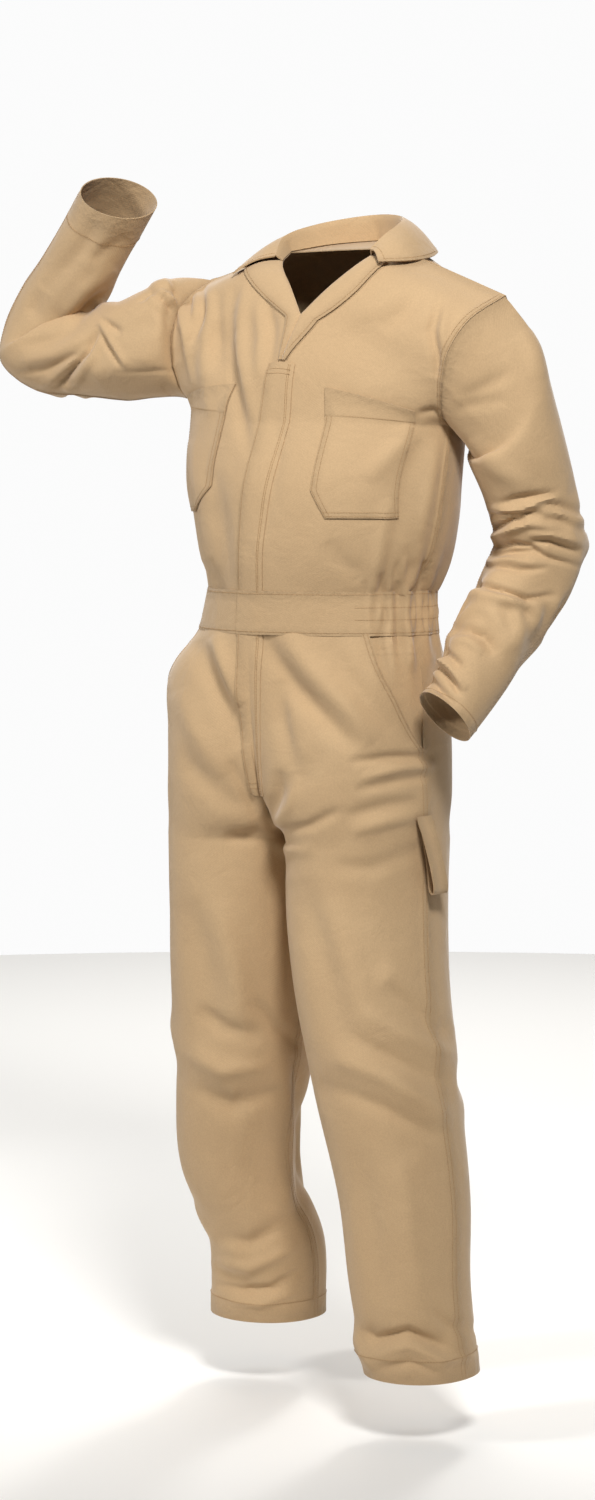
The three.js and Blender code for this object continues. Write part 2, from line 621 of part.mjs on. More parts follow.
/** A point of the waistband: how far round from the front edge, how far down. */
function waistPoint(side, face, s, down) {
  return mix(BODICE[face + side](s, 0), TROUSERS[face + side](s, 0), down);
}

function makeWaistband() {
  const across = evenly(STEPS.across);
  const downs = evenly(2);
  const round = [];
  const lap = (down, mm, out) => {
    const side = mm < 0 ? RIGHT : LEFT;
    const surface = (s, t) => waistPoint(side, "front", s, t);
    const s = Math.abs(mm) / rowLength(surface, down);
    return laidOn(surface, side === LEFT ? -1 : 1, s, down, out);
  };
  for (const s of across) round.push((down) => waistPoint(RIGHT, "front", s, down));
  for (const s of [...across].reverse().slice(1)) round.push((down) => waistPoint(RIGHT, "back", s, down));
  for (const s of across.slice(1)) round.push((down) => waistPoint(LEFT, "back", s, down));
  for (const s of [...across].reverse().slice(1, -1)) round.push((down) => waistPoint(LEFT, "front", s, down));
  round.push((down) => lap(down, 14, 0), (down) => lap(down, 4, LAYER));
  round.push((down) => lap(down, -8, LAYER), (down) => lap(down, -PLACKET_HALF, LAYER));
  new Sheet("waistband").grid(downs.map((down) => round.map((place) => place(down))), 1);
}

/** A panel's stations between two places, with the places themselves. */
function rowsBetween(rows, from, to) {
  return [from, ...rows.filter((t) => t > from + 0.008 && t < to - 0.008), to];
}

/** A strip that lies over the centre front edges, by millimetres each side of them. */
function centreStrip(name, cells, half, rows, top, lift) {
  const across = [-half, -half / 2, 0, half / 2, half];
  const over = (side, mm, t) => {
    const surface = cells[side];
    return laidOn(surface, side * top, Math.abs(mm) / rowLength(surface, t), t, lift);
  };
  const middle = (t) => {
    const [a, b] = [LEFT, RIGHT].map((side) => normalOf(cells[side], 0, t, side * top));
    const mean = unit(add(a, b));
    return add(cells[LEFT](0, t), times(mean, lift / Math.max(0.4, dot(mean, a))));
  };
  const grid = rows.map((t) => across.map((mm) => (mm === 0 ? middle(t) : over(mm < 0 ? RIGHT : LEFT, mm, t))));
  new Sheet(name, { seamed: false }).grid(grid, top);
}

/** A patch on a front panel; its two edges are given in millimetres from the centre edge. */
function patch(name, side, rows, edges, cells, lift = LAYER) {
  const surface = BODICE_CELLS["front" + side];
  const grid = rows.map((t) => {
    const [from, to] = edges(t);
    const long = rowLength(surface, t);
    return evenly(cells, from / long, to / long).map((s) => laidOn(surface, side, s, t, lift));
  });
  new Sheet(name, { seamed: false }).grid(grid, side);
}

function makeLapels() {
  for (const side of [LEFT, RIGHT]) {
    const widths = LAPELS[sideName(side)];
    const rows = rowsBetween(BODICE_ROWS, BREAK_AT + 0.004, GORGE_AT - 0.004);
    patch("lapel_" + sideName(side), side, rows, (t) => [0.4, along(widths, "wide", t)[0]], 3);
  }
}

function makeChestPockets() {
  for (const side of [LEFT, RIGHT]) {
    const cut = POCKETS[sideName(side)];
    const rows = rowsBetween(BODICE_ROWS, cut[0].at, cut[cut.length - 1].at);
    const corners = cut.map((row) => row.at);
    patch("pocket_chest_" + sideName(side), side, rows, (t) => along(cut, "edges", t, corners), 8, POCKET_LIFT);
  }
}

/** The tube of a sleeve from its armhole to its cuff. */
function sleeveRings(side) {
  const name = sideName(side);
  const turn = (SLEEVE_TURN[name] * Math.PI) / 180;
  const holes = BODICE_ROWS.filter((t) => t >= ARMPIT_AT);
  const front = [...holes].reverse().map((t) => BODICE["front" + side](1, t));
  const back = holes.map((t) => BODICE["back" + side](1, t));
  const armhole = [...front, ...back.slice(1)];
  const around = armhole.length - 1;
  const middles = SLEEVES[name].map((row) => mix(row.near, row.far, 0.5));
  const rings = [armhole];
  SLEEVES[name].forEach((row, k) => {
    const before = middles[Math.max(0, k - 1)];
    const after = middles[Math.min(middles.length - 1, k + 1)];
    const out = times(minus(row.near, row.far), 0.5);
    const deep = times(unit(cross(minus(after, before), out)), row.deep * side);
    rings.push(armhole.map((_, i) => {
      const angle = (i / around) * 2 * Math.PI + turn * side;
      return add(middles[k], add(times(out, Math.cos(angle)), times(deep, Math.sin(angle))));
    }));
  });
  return rings.map((ring, k) => ({ at: k / (rings.length - 1), ring }));
}

function makeSleeve(side) {
  const rings = sleeveRings(side);
  const lines = rings[0].ring.map((_, i) => rings.map((row) => ({ at: row.at, point: row.ring[i] })));
  const grid = evenly(STEPS.sleeve).map((t) => lines.map((line) => along(line, "point", t)));
  new Sheet("sleeve_" + sideName(side), { gap: ARMHOLE_GAP }).grid(grid, side);
}

/** The collar's neck seam, from the right front round the back to the left front. */
function neckSeam() {
  const high = BODICE_ROWS.filter((t) => t >= NECK_AT);
  const fore = [GORGE_AT, (GORGE_AT + 1) / 2];
  return [
    ...fore.map((t) => BODICE["front" + RIGHT](0, t)),
    ...[...high].reverse().map((t) => BODICE["back" + RIGHT](0, t)),
    ...high.slice(1).map((t) => BODICE["back" + LEFT](0, t)),
    ...[...fore].reverse().map((t) => BODICE["front" + LEFT](0, t)),
  ];
}

function makeCollar() {
  const seam = neckSeam();
  const shares = [0, 0.35, 0.8, 1];
  const grid = shares.map((k) => seam.map((point, i) => {
    const at = i / (seam.length - 1);
    const fold = along(COLLAR, "fold", at);
    return mix(add(point, [0, 0, LAYER]), fold, k);
  }));
  for (const k of evenly(STEPS.collar).slice(1)) {
    grid.push(seam.map((_, i) => {
      const at = i / (seam.length - 1);
      const [fold, edge] = [along(COLLAR, "fold", at), along(COLLAR, "edge", at)];
      const out = unit([edge[0] - fold[0], edge[1] - fold[1], 0]);
      const puff = COLLAR_PUFF * Math.sin(Math.PI * k);
      return add(add(mix(fold, edge, k), times(out, 2 * Math.min(1, 4 * k))), [0, 0, puff]);
    }));
  }
  new Sheet("collar", { seamed: false }).grid(grid, 1);
}

makeBodice();
makeTrousers();
makeLoop();
makeWaistband();
makeSleeve(LEFT);
makeSleeve(RIGHT);
makeCollar();
makeLapels();
makeChestPockets();
const onBodice = { [LEFT]: BODICE_CELLS["front" + LEFT], [RIGHT]: BODICE_CELLS["front" + RIGHT] };
const onTrousers = { [LEFT]: TROUSER_CELLS["slanted" + LEFT], [RIGHT]: TROUSER_CELLS["slanted" + RIGHT] };
centreStrip("placket", onBodice, PLACKET_HALF, rowsBetween(BODICE_ROWS, 0.003, BREAK_AT), 1, LAYER);
centreStrip("fly", onTrousers, FLY_HALF, rowsBetween(TROUSER_ROWS, 0.002, FLY_END), -1, FLY_LIFT);
sewTogether();

export default suit;
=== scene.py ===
"""A worn boiler suit in cotton twill: panels, seams, pockets, collar and stitches, in a plain studio.

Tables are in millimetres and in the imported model's frame: +Z up, front towards -Y, the wearer's left
towards +X, origin at the base of the neck. Meshes are in metres.
"""

import logging
import math
from dataclasses import dataclass, field
from enum import Enum
from typing import Callable, Sequence

import bmesh
import bpy
import numpy as np
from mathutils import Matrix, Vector


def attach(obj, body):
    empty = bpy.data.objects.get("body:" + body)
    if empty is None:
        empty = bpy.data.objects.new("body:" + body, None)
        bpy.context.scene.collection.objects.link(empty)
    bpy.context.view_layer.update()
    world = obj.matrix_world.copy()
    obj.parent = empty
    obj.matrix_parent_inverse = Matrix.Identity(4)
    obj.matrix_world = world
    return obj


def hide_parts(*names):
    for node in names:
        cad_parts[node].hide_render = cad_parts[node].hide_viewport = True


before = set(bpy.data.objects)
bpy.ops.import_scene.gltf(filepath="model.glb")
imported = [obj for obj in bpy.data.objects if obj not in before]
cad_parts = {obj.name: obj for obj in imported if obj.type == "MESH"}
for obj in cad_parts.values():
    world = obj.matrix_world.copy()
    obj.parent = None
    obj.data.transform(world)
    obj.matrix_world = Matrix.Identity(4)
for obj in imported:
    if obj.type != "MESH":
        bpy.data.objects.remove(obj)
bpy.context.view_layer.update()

LOG = logging.getLogger("boiler_suit")

MM = 0.001

# Cloth, seams and stitches in millimetres; the side seams lap by a share of a panel's width
WALL = 1.3
LAP = 0.006
RIDGE = 0.75
RIDGE_WIDE = 8.5
HEM_RISE = 0.6
STITCH_LIFT = 0.12
SEAM_STEPS = np.array([0, 1.5, 4, 6.5, 8.5, 10.1])
SEAM_ROWS = (1.8, 7.4)
ON_CLOTH = WALL / 2 + STITCH_LIFT
ON_SEAM = WALL / 2 + RIDGE + STITCH_LIFT
ON_HEM = WALL / 2 + HEM_RISE + STITCH_LIFT

# Pulls that make a cubic curve a quarter and a half of an ellipse
QUARTER = 0.5523
HALF = 4 / 3

# Places along a panel, 0 at the waist and 1 at the shoulder or the trouser hem
ARMPIT_AT = 0.5
CROTCH_AT = 0.34
NECK_AT = 0.8
V_AT = 0.7
GORGE_AT = 0.92
BREAK_AT = 0.6
FLY_START = 0.002
FLY_END = 0.262
PLACKET_START = 0.003


class Side(Enum):
    """A side of the wearer; the value is its direction along X."""

    LEFT = 1
    RIGHT = -1

    @property
    def label(self) -> str:
        """The side's name as nodes have it."""
        return self.name.lower()


class Face(Enum):
    """The front or the back of the suit; the value is its direction along Y."""

    FRONT = -1
    BACK = 1

    @property
    def label(self) -> str:
        """The face's name as nodes have it."""
        return self.name.lower()


class Held(Enum):
    """How a cut piece of cloth is held."""

    HUNG = "hung"
    GATHERED = "gathered"
    FOLDED = "folded"


@dataclass(frozen=True)
class Row:
    """A row across a panel: its two edges and the pulls by which the cloth leaves and meets them."""

    at: float
    edge: tuple
    leave: tuple
    arrive: tuple
    outer: tuple


@dataclass(frozen=True)
class Section:
    """A section of the body, or of a leg, as half sizes about a centre."""

    at: float
    z: float
    x: float
    y: float
    left: float
    right: float
    front: float
    back: float
    twist: float


@dataclass(frozen=True)
class Fold:
    """A soft fold: a capsule from start to end, and the push at its middle."""

    start: tuple
    end: tuple
    width: float
    push: tuple


WAIST_LOW = Section(0, -478, -31, -3, 168, 177, 126, 122, 6.5)
BODY = (
    Section(0, -430, -27, -4, 162, 160, 130, 118, 6),
    Section(0.1, -392, -22, -3, 177, 171, 140, 132, 5),
    Section(0.24, -338, -16, -6, 187, 187, 142, 136, 4),
    Section(0.37, -286, -12, -9, 188, 203, 138, 136, 2),
    Section(0.5, -215, -5, -5, 181, 209, 123, 134, 0),
)

# Armholes: place along the panel, then the edge on the front and on the back
ARMHOLE = {
    Side.LEFT: (
        (0.5, (176, -2, -220), (176, -2, -220)),
        (0.6, (184, -36, -204), (178, 36, -209)),
        (0.7, (200, -58, -165), (188, 60, -180)),
        (0.8, (214, -62, -128), (206, 70, -142)),
        (0.9, (232, -42, -90), (233, 54, -98)),
        (1, (247, 12, -60), (247, 12, -60)),
    ),
    Side.RIGHT: (
        (0.5, (-214, -8, -192), (-214, -8, -192)),
        (0.6, (-220, -45, -176), (-216, 40, -178)),
        (0.7, (-224, -66, -140), (-216, 66, -142)),
        (0.8, (-224, -68, -100), (-216, 68, -100)),
        (0.9, (-220, -46, -56), (-214, 46, -56)),
        (1, (-212, 0, -26), (-212, 0, -26)),
    ),
}

# Bodice above the armpits: place, centre or neck edge, and how each row leaves its two ends
BODICE_TOP = {
    (Face.FRONT, Side.LEFT): (
        (0.6, (0, -120, -140), (85, -2, -12), (-8, -40, 10)),
        (0.7, (12, -98, -82), (72, 2, -14), (-34, -18, 12)),
        (0.8, (42, -74, -45), (55, -10, -12), (-48, -10, 18)),
        (0.9, (70, -40, -12), (45, -14, -14), (-50, -7, 22)),
        (1, (80, 0, 5), (50, 0, -16), (-50, -2, 20)),
    ),
    (Face.FRONT, Side.RIGHT): (
        (0.6, (0, -120, -140), (-85, -2, 0), (10, -38, 6)),
        (0.7, (12, -98, -82), (-90, 4, 0), (36, -20, 8)),
        (0.8, (-24, -72, -46), (-60, -14, 0), (46, -12, 8)),
        (0.9, (-62, -42, -14), (-50, -18, 0), (45, -9, 10)),
        (1, (-80, 0, 5), (-45, 0, -6), (45, 0, 8)),
    ),
    (Face.BACK, Side.LEFT): (
        (0.6, (-4, 130, -148), (100, 4, 0), (-10, 40, 8)),
        (0.7, (-2, 118, -66), (90, 6, -6), (-40, 16, 8)),
        (0.8, (0, 82, 20), (42, 2, 0), (-55, 9, 16)),
        (0.9, (52, 56, 16), (44, 12, -12), (-52, 6, 22)),
        (1, (80, 0, 5), (50, 0, -16), (-50, -2, 20)),
    ),
    (Face.BACK, Side.RIGHT): (
        (0.6, (-4, 130, -148), (-100, 4, 0), (12, 40, 6)),
        (0.7, (-2, 118, -66), (-90, 6, 0), (36, 20, 8)),
        (0.8, (0, 82, 20), (-42, 2, 0), (46, 13, 10)),
        (0.9, (-52, 56, 16), (-44, 12, -6), (46, 9, 12)),
        (1, (-80, 0, 5), (-45, 0, -6), (45, 0, 8)),
    ),
}

# Seat: place, height, fork edge at the front and back, side seams left and right, leave and arrive pulls
SEAT = (
    (0.08, -540, (-46, -127), (-26, 128), (144, -18), (-250, -2), (92, 15), 95),
    (0.16, -610, (-47, -119), (-32, 128), (144, -16), (-242, -3), (86, 40), 114),
    (0.22, -655, (-47, -111), (-38, 120), (146, -13), (-240, -4), (70, 52), 124),
    (0.27, -695, (-47, -98), (-42, 102), (147, -10), (-241, -5), (50, 66), 132),
    (0.31, -727, (-47, -66), (-46, 66), (145, -8), (-241, -6), (22, 92), 142),
    (0.34, -748, (-47, 2), (-47, 2), (144, -6), (-240, -7), (0, 156), 156),
)

# Legs: place, height, centre x and y, half width and half depth
LEGS = {
    Side.LEFT: (
        (0.42, -820, 50, -8, 95, 114),
        (0.52, -920, 69, -24, 92, 108),
        (0.66, -1060, 108, -42, 88, 96),
        (0.8, -1200, 141, -48, 79, 85),
        (0.9, -1300, 154, -55, 73, 79),
        (1, -1410, 173, -55, 69, 75),
    ),
    Side.RIGHT: (
        (0.42, -820, -146, -5, 94, 115),
        (0.52, -920, -148, -8, 93, 106),
        (0.66, -1060, -155, -6, 85, 92),
        (0.8, -1200, -175, 12, 75, 80),
        (0.9, -1300, -158, 46, 75, 76),
        (1, -1403, -166, 60, 76, 74),
    ),
}

# Sleeves: the shoulder side, the underarm side and half the depth between
SLEEVES = {
    Side.LEFT: (
        ((268, 46, -114), (208, 4, -256), 56),
        ((282, 75, -200), (198, 8, -266), 69),
        ((294, 99, -290), (205, 30, -312), 64),
        ((300, 116, -368), (208, 46, -362), 62),
        ((286, 98, -428), (203, 36, -396), 60),
        ((271, 63, -480), (196, 6, -438), 57),
        ((253, 19, -539), (189, -30, -494), 53),
        ((236, -14, -584), (184, -55, -538), 48),
        ((225, -34, -609), (181, -69, -551), 44),
    ),
    Side.RIGHT: (
        ((-250, -26, -24), (-244, -20, -178), 70),
        ((-292, -35, -38), (-285, -30, -178), 68),
        ((-331, -33, -52), (-337, -37, -182), 65),
        ((-370, -26, -59), (-398, -48, -176), 63),
        ((-394, -13, -65), (-466, -67, -165), 62),
        ((-408, 0, -62), (-512, -80, -130), 60),
        ((-404, -1, -54), (-505, -82, -84), 58),
        ((-386, -12, -43), (-475, -81, -34), 54),
        ((-356, -26, -21), (-434, -86, 5), 51),
        ((-322, -37, 10), (-393, -92, 47), 49),
        ((-268, -47, 70), (-345, -107, 91), 47),
    ),
}
SLEEVE_TURN = {Side.LEFT: 15, Side.RIGHT: 0}

# Collar: place from the right front end to the left one, its fold and its outer edge
COLLAR = (
    (0, (-72, -40, -2), (-126, -60, -23)),
    (0.14, (-84, -8, 24), (-140, -18, -12)),
    (0.3, (-70, 40, 42), (-118, 62, 4)),
    (0.5, (0, 74, 54), (0, 110, 12)),
    (0.68, (66, 42, 46), (98, 70, 4)),
    (0.8, (84, 8, 34), (123, 25, -7)),
    (0.91, (84, -22, 18), (124, -22, -14)),
    (1, (78, -40, 0), (100, -54, -16)),
)

# Lapel widths from the roll line
LAPELS = {
    Side.LEFT: ((0.6, (4,)), (0.68, (22,)), (0.8, (42,)), (0.92, (34,))),
    Side.RIGHT: ((0.6, (4,)), (0.68, (16,)), (0.8, (46,)), (0.92, (54,))),
}

# Chest pockets: their two edges from the centre front at each station, clipped below
POCKETS = {
    Side.LEFT: ((0.25, (94, 190)), (0.34, (70, 184)), (0.57, (58, 170))),
    Side.RIGHT: ((0.27, (112, 196)), (0.35, (78, 196)), (0.57, (72, 186))),
}

# Slant pocket mouths as a share of the trouser front's width
MOUTH = ((0, (0.67,)), (0.06, (0.73,)), (0.12, (0.86,)), (0.185, (1,)))

# Strap loop: how far down, out from the leg, from the front strip to the back one, and its drift
LOOP_PATH = (
    (0, 4.8, 0, 0), (10, 7.4, 0, 1), (27, 13.5, 0, 2), (60, 20, 0, 7), (88, 22, 0.2, 11),
    (97, 17, 0.5, 12), (90, 10, 0.8, 11), (60, 8, 1, 7), (27, 5.4, 1, 2), (4, 2.5, 1, 0),
)
LOOP_TOP = 0.288
LOOP_WIDE = 30

FOLDS = (
    # Left sleeve, above, at and below the elbow
    Fold((234, 24, -317), (297, 73, -300), 13, (-4.5, 5.5, 0)),
    Fold((246, 17, -344), (310, 68, -351), 14, (4.5, -5.5, 0)),
    Fold((220, 32, -375), (299, 108, -392), 13, (-4.5, 5.5, 0)),
    Fold((232, 8, -404), (290, 60, -440), 15, (4, -5, 0)),
    Fold((215, 0, -446), (262, 34, -486), 13, (-4, 4.5, 0)),
    Fold((256, 24, -150), (282, 36, -262), 24, (4, -4, 0)),
    Fold((240, 110, -300), (292, 120, -330), 16, (0, -6, 0)),
    Fold((246, 140, -352), (300, 122, -372), 16, (2, 6, 0)),
    # Right sleeve, from the shoulder to the bent elbow
    Fold((-368, -66, -125), (-400, -92, -168), 13, (-4.5, 5.5, 0)),
    Fold((-356, -56, -73), (-362, -60, -106), 12, (-3, 6, 0)),
    Fold((-322, -78, -84), (-238, -62, -56), 16, (2, -5, 2)),
    Fold((-324, -88, -116), (-248, -86, -88), 15, (-2, 6, 0)),
    Fold((-330, -92, -148), (-250, -88, -130), 17, (1, -5, -1)),
    Fold((-438, -96, -60), (-402, -84, -18), 14, (-4, 4, 0)),
    Fold((-330, 26, -90), (-420, 4, -120), 18, (0, -6, 0)),
    # Right chest, drawn towards the raised arm
    Fold((-196, -80, -82), (-132, -118, -190), 17, (-2, -5, 0)),
    Fold((-168, -82, -62), (-100, -116, -160), 16, (1, 5.5, 0)),
    # Back, drawn the same way and hollow between the shoulders
    Fold((-196, 86, -90), (-110, 128, -210), 20, (0, 6, 0)),
    Fold((-176, 92, -60), (-70, 126, -150), 18, (0, -5, 0)),
    Fold((190, 78, -150), (120, 126, -260), 20, (0, 5, 0)),
    # Lap and seat, from the fork to the hips
    Fold((-30, -124, -706), (62, -148, -640), 17, (0, 5.5, 0)),
    Fold((-62, -124, -706), (-150, -142, -650), 17, (0, 5.5, 0)),
    Fold((-34, 116, -716), (60, 150, -770), 20, (0, -6, 0)),
    Fold((-60, 116, -716), (-150, 146, -776), 20, (0, -6, 0)),
    # Left leg, at the knee and over the foot
    Fold((146, -86, -912), (178, -28, -969), 18, (5, -4, 0)),
    Fold((108, -132, -1006), (199, -58, -1074), 20, (3, -6, 0)),
    Fold((84, -128, -1052), (176, -96, -1116), 18, (-2, 5.5, 0)),
    Fold((90, 50, -1020), (176, 22, -1052), 18, (0, -7, 0)),
    Fold((100, 56, -1062), (190, 30, -1084), 18, (1, 6, 0)),
    Fold((156, -132, -1350), (227, -88, -1356), 15, (-4.5, 6, 0)),
    Fold((150, -134, -1376), (226, -92, -1384), 14, (3.5, -5, 0)),
    # Right leg, the same
    Fold((-216, -62, -1006), (-112, -92, -1056), 22, (-2, -6, 0)),
    Fold((-206, -66, -1058), (-112, -80, -1112), 18, (0, 5.5, 0)),
    Fold((-214, 66, -1010), (-110, 80, -1046), 18, (0, -7, 0)),
    Fold((-230, -6, -1262), (-150, -24, -1300), 17, (-3, -6, 0)),
    Fold((-188, -18, -1334), (-138, -24, -1350), 14, (-3, 5, 0)),
)


def row_size(vectors: np.ndarray) -> np.ndarray:
    """The length of each vector in an array."""
    return np.sqrt((vectors * vectors).sum(-1, keepdims=True))


def unit(vectors: np.ndarray) -> np.ndarray:
    """Each vector at length one."""
    return vectors / np.maximum(row_size(vectors), 1e-9)


def soft_step(value: np.ndarray) -> np.ndarray:
    """A smooth rise from 0 to 1 as the value goes from 0 to 1."""
    k = np.clip(value, 0, 1)
    return k * k * (3 - 2 * k)


class Track:
    """One column of a table as a smooth curve through its rows."""

    def __init__(self, at: Sequence[float], values: Sequence[Sequence[float]],
                 corners: Sequence[float] = ()):
        """Works out the slopes.

        Args:
            at: Each row's place.
            values: Each row's numbers.
            corners: Places where the curve may turn sharply.
        """
        self.at = np.array(at, float)
        self.values = np.array(values, float)
        self.spans = spans = np.diff(self.at)[:, None]
        chords = np.diff(self.values, axis=0) / spans
        self.first = chords.copy()
        self.last = chords.copy()
        for j in range(1, len(at) - 1):
            if any(abs(at[j] - corner) < 1e-9 for corner in corners):
                continue
            share = spans[j - 1] / (spans[j - 1] + spans[j])
            slope = chords[j - 1] * (1 - share) + chords[j] * share
            self.first[j] = slope
            self.last[j - 1] = slope

    def __call__(self, place: np.ndarray) -> np.ndarray:
        """The column's numbers at each place.

        Args:
            place: Places of any shape.

        Returns:
            The numbers, on one more axis.
        """
        place = np.asarray(place, float)
        i = np.clip(np.searchsorted(self.at, place, side="left") - 1, 0, len(self.at) - 2)
        span = self.spans[i]
        k = (place[..., None] - self.at[i][..., None]) / span
        k2, k3 = k * k, k * k * k
        return (self.values[i] * (2 * k3 - 3 * k2 + 1) + self.first[i] * span * (k3 - 2 * k2 + k)
                + self.values[i + 1] * (3 * k2 - 2 * k3) + self.last[i] * span * (k3 - k2))


def column(table: Sequence[tuple], index: int = 1, corners: Sequence[float] = ()) -> Track:
    """One column of a table whose rows start with their place."""
    return Track([row[0] for row in table], [row[index] for row in table], corners)


class Panel:
    """A panel of cloth as a function of how far across and how far along it a point lies."""

    def __init__(self, rows: Sequence[Row], corners: Sequence[float], facing: int):
        """Makes the four curves that the panel follows.

        Args:
            rows: The panel's rows, in order.
            corners: Places along it where its edges turn sharply.
            facing: 1 where a grid of its cells already faces outwards, else -1.
        """
        at = [row.at for row in rows]
        self.tracks = [Track(at, [getattr(row, name) for row in rows], corners)
                       for name in ("edge", "leave", "arrive", "outer")]
        self.facing = facing

    def __call__(self, s: np.ndarray, t: np.ndarray) -> np.ndarray:
        """Points of the panel before any fold.

        Args:
            s: How far across each point is, from the centre line or the inseam to the side seam.
            t: How far along.

        Returns:
            The points.
        """
        s, t = np.broadcast_arrays(np.asarray(s, float), np.asarray(t, float))
        edge, leave, arrive, outer = (track(t) for track in self.tracks)
        s = s[..., None]
        r = 1 - s
        return (r ** 3 * edge + 3 * r * r * s * (edge + leave) + 3 * r * s * s * (outer + arrive)
                + s ** 3 * outer)


def push_folds(points: np.ndarray, folds: Sequence[Fold]) -> np.ndarray:
    """Moves points by the soft folds that reach them.

    Args:
        points: Points in an array of any shape.
        folds: The folds, applied one after another.

    Returns:
        The moved points.
    """
    flat = points.reshape(-1, 3)
    moved = flat.copy()
    for fold in folds:
        start, end = np.array(fold.start, float), np.array(fold.end, float)
        spine = end - start
        middle = (start + end) / 2
        reach = 3 * fold.width + np.linalg.norm(spine) / 2
        near = np.flatnonzero(((flat - middle) ** 2).sum(1) < reach * reach)
        if not len(near):
            continue
        some = flat[near]
        k = np.clip((some - start) @ spine / (spine @ spine), 0, 1)
        far = np.linalg.norm(some - (start + k[:, None] * spine), axis=1) / fold.width
        weight = np.exp(-far * far)
        moved[near] += weight[:, None] * np.array(fold.push, float)
    return moved.reshape(points.shape)


@dataclass
class WaistGathers:
    """Gathers of the elastic waist: soft ridges from the left side round the back to the right side."""

    count: int = 11
    from_angle: float = -14
    to_angle: float = 188
    wide: float = 150
    deep: float = 121
    ridge: float = 13
    push: float = 4.5
    centre: tuple = (-28, -4)
    height: float = -454
    fine_count: int = 68
    fine_height: float = 2.4
    fine_from: float = -34
    fine_to: float = 200
    fade: float = 48

    def folds(self) -> list[Fold]:
        """The large gathers, which the solids have too.

        Returns:
            One fold for each gather.
        """
        found = []
        for k in range(self.count):
            share = k / (self.count - 1)
            angle = math.radians(self.from_angle + (self.to_angle - self.from_angle) * share)
            c, d = math.cos(angle), math.sin(angle)
            reach = 20 + 26 * abs(math.sin(3.1 * k + 0.4))
            start = self.spot(c, d, 14, -430 + reach)
            end = self.spot(c, d, 20, -480 - reach)
            found.append(Fold(start, end, self.ridge, (self.push * c, self.push * d, 0)))
        return found

    def spot(self, c: float, d: float, grow: float, z: float) -> tuple:
        """A point in a direction round the waist."""
        return (self.centre[0] + (self.wide + grow) * c, self.centre[1] + (self.deep + grow) * d, z)

    def relief(self, points: np.ndarray) -> np.ndarray:
        """The height of the fine gathers, strongest on the band and fading from it.

        Args:
            points: The surface's points.

        Returns:
            The height at each point, in millimetres.
        """
        angle = np.arctan2(points[..., 1] - self.centre[1], points[..., 0] - self.centre[0])
        turn = np.degrees(angle)
        turn = np.where(turn < -90, turn + 360, turn)
        mask = soft_step((turn - self.fine_from) / 12) * soft_step((self.fine_to - turn) / 12)
        away = np.abs(points[..., 2] - self.height)
        fading = np.exp(-((np.maximum(away - 20, 0) / self.fade) ** 2))
        wave = np.sin(self.fine_count * angle + 1.7 * np.sin(7 * angle) + 0.9 * np.sin(17 * angle + 1))
        long_wave = np.sin(0.47 * self.fine_count * angle + 2.2 * np.sin(5 * angle + 2))
        near = np.clip(1 - away / 34, 0, 1)
        return mask * fading * self.fine_height * (near * wave + (1 - near) * 1.9 * long_wave)


GATHERS = WaistGathers()
ALL_FOLDS = FOLDS + tuple(GATHERS.folds())


class Area(Enum):
    """The part of the suit that a crease lies on."""

    BODICE = "bodice"
    TROUSERS = "trousers"
    LEFT_SLEEVE = "left sleeve"
    RIGHT_SLEEVE = "right sleeve"


@dataclass(frozen=True)
class Crease:
    """A crease as measured in the front three-quarter view.

    The path is in steps of 1.29 mm, right and down, the width and the height are in millimetres,
    and a negative height is a groove.
    """

    path: tuple
    width: float
    height: float


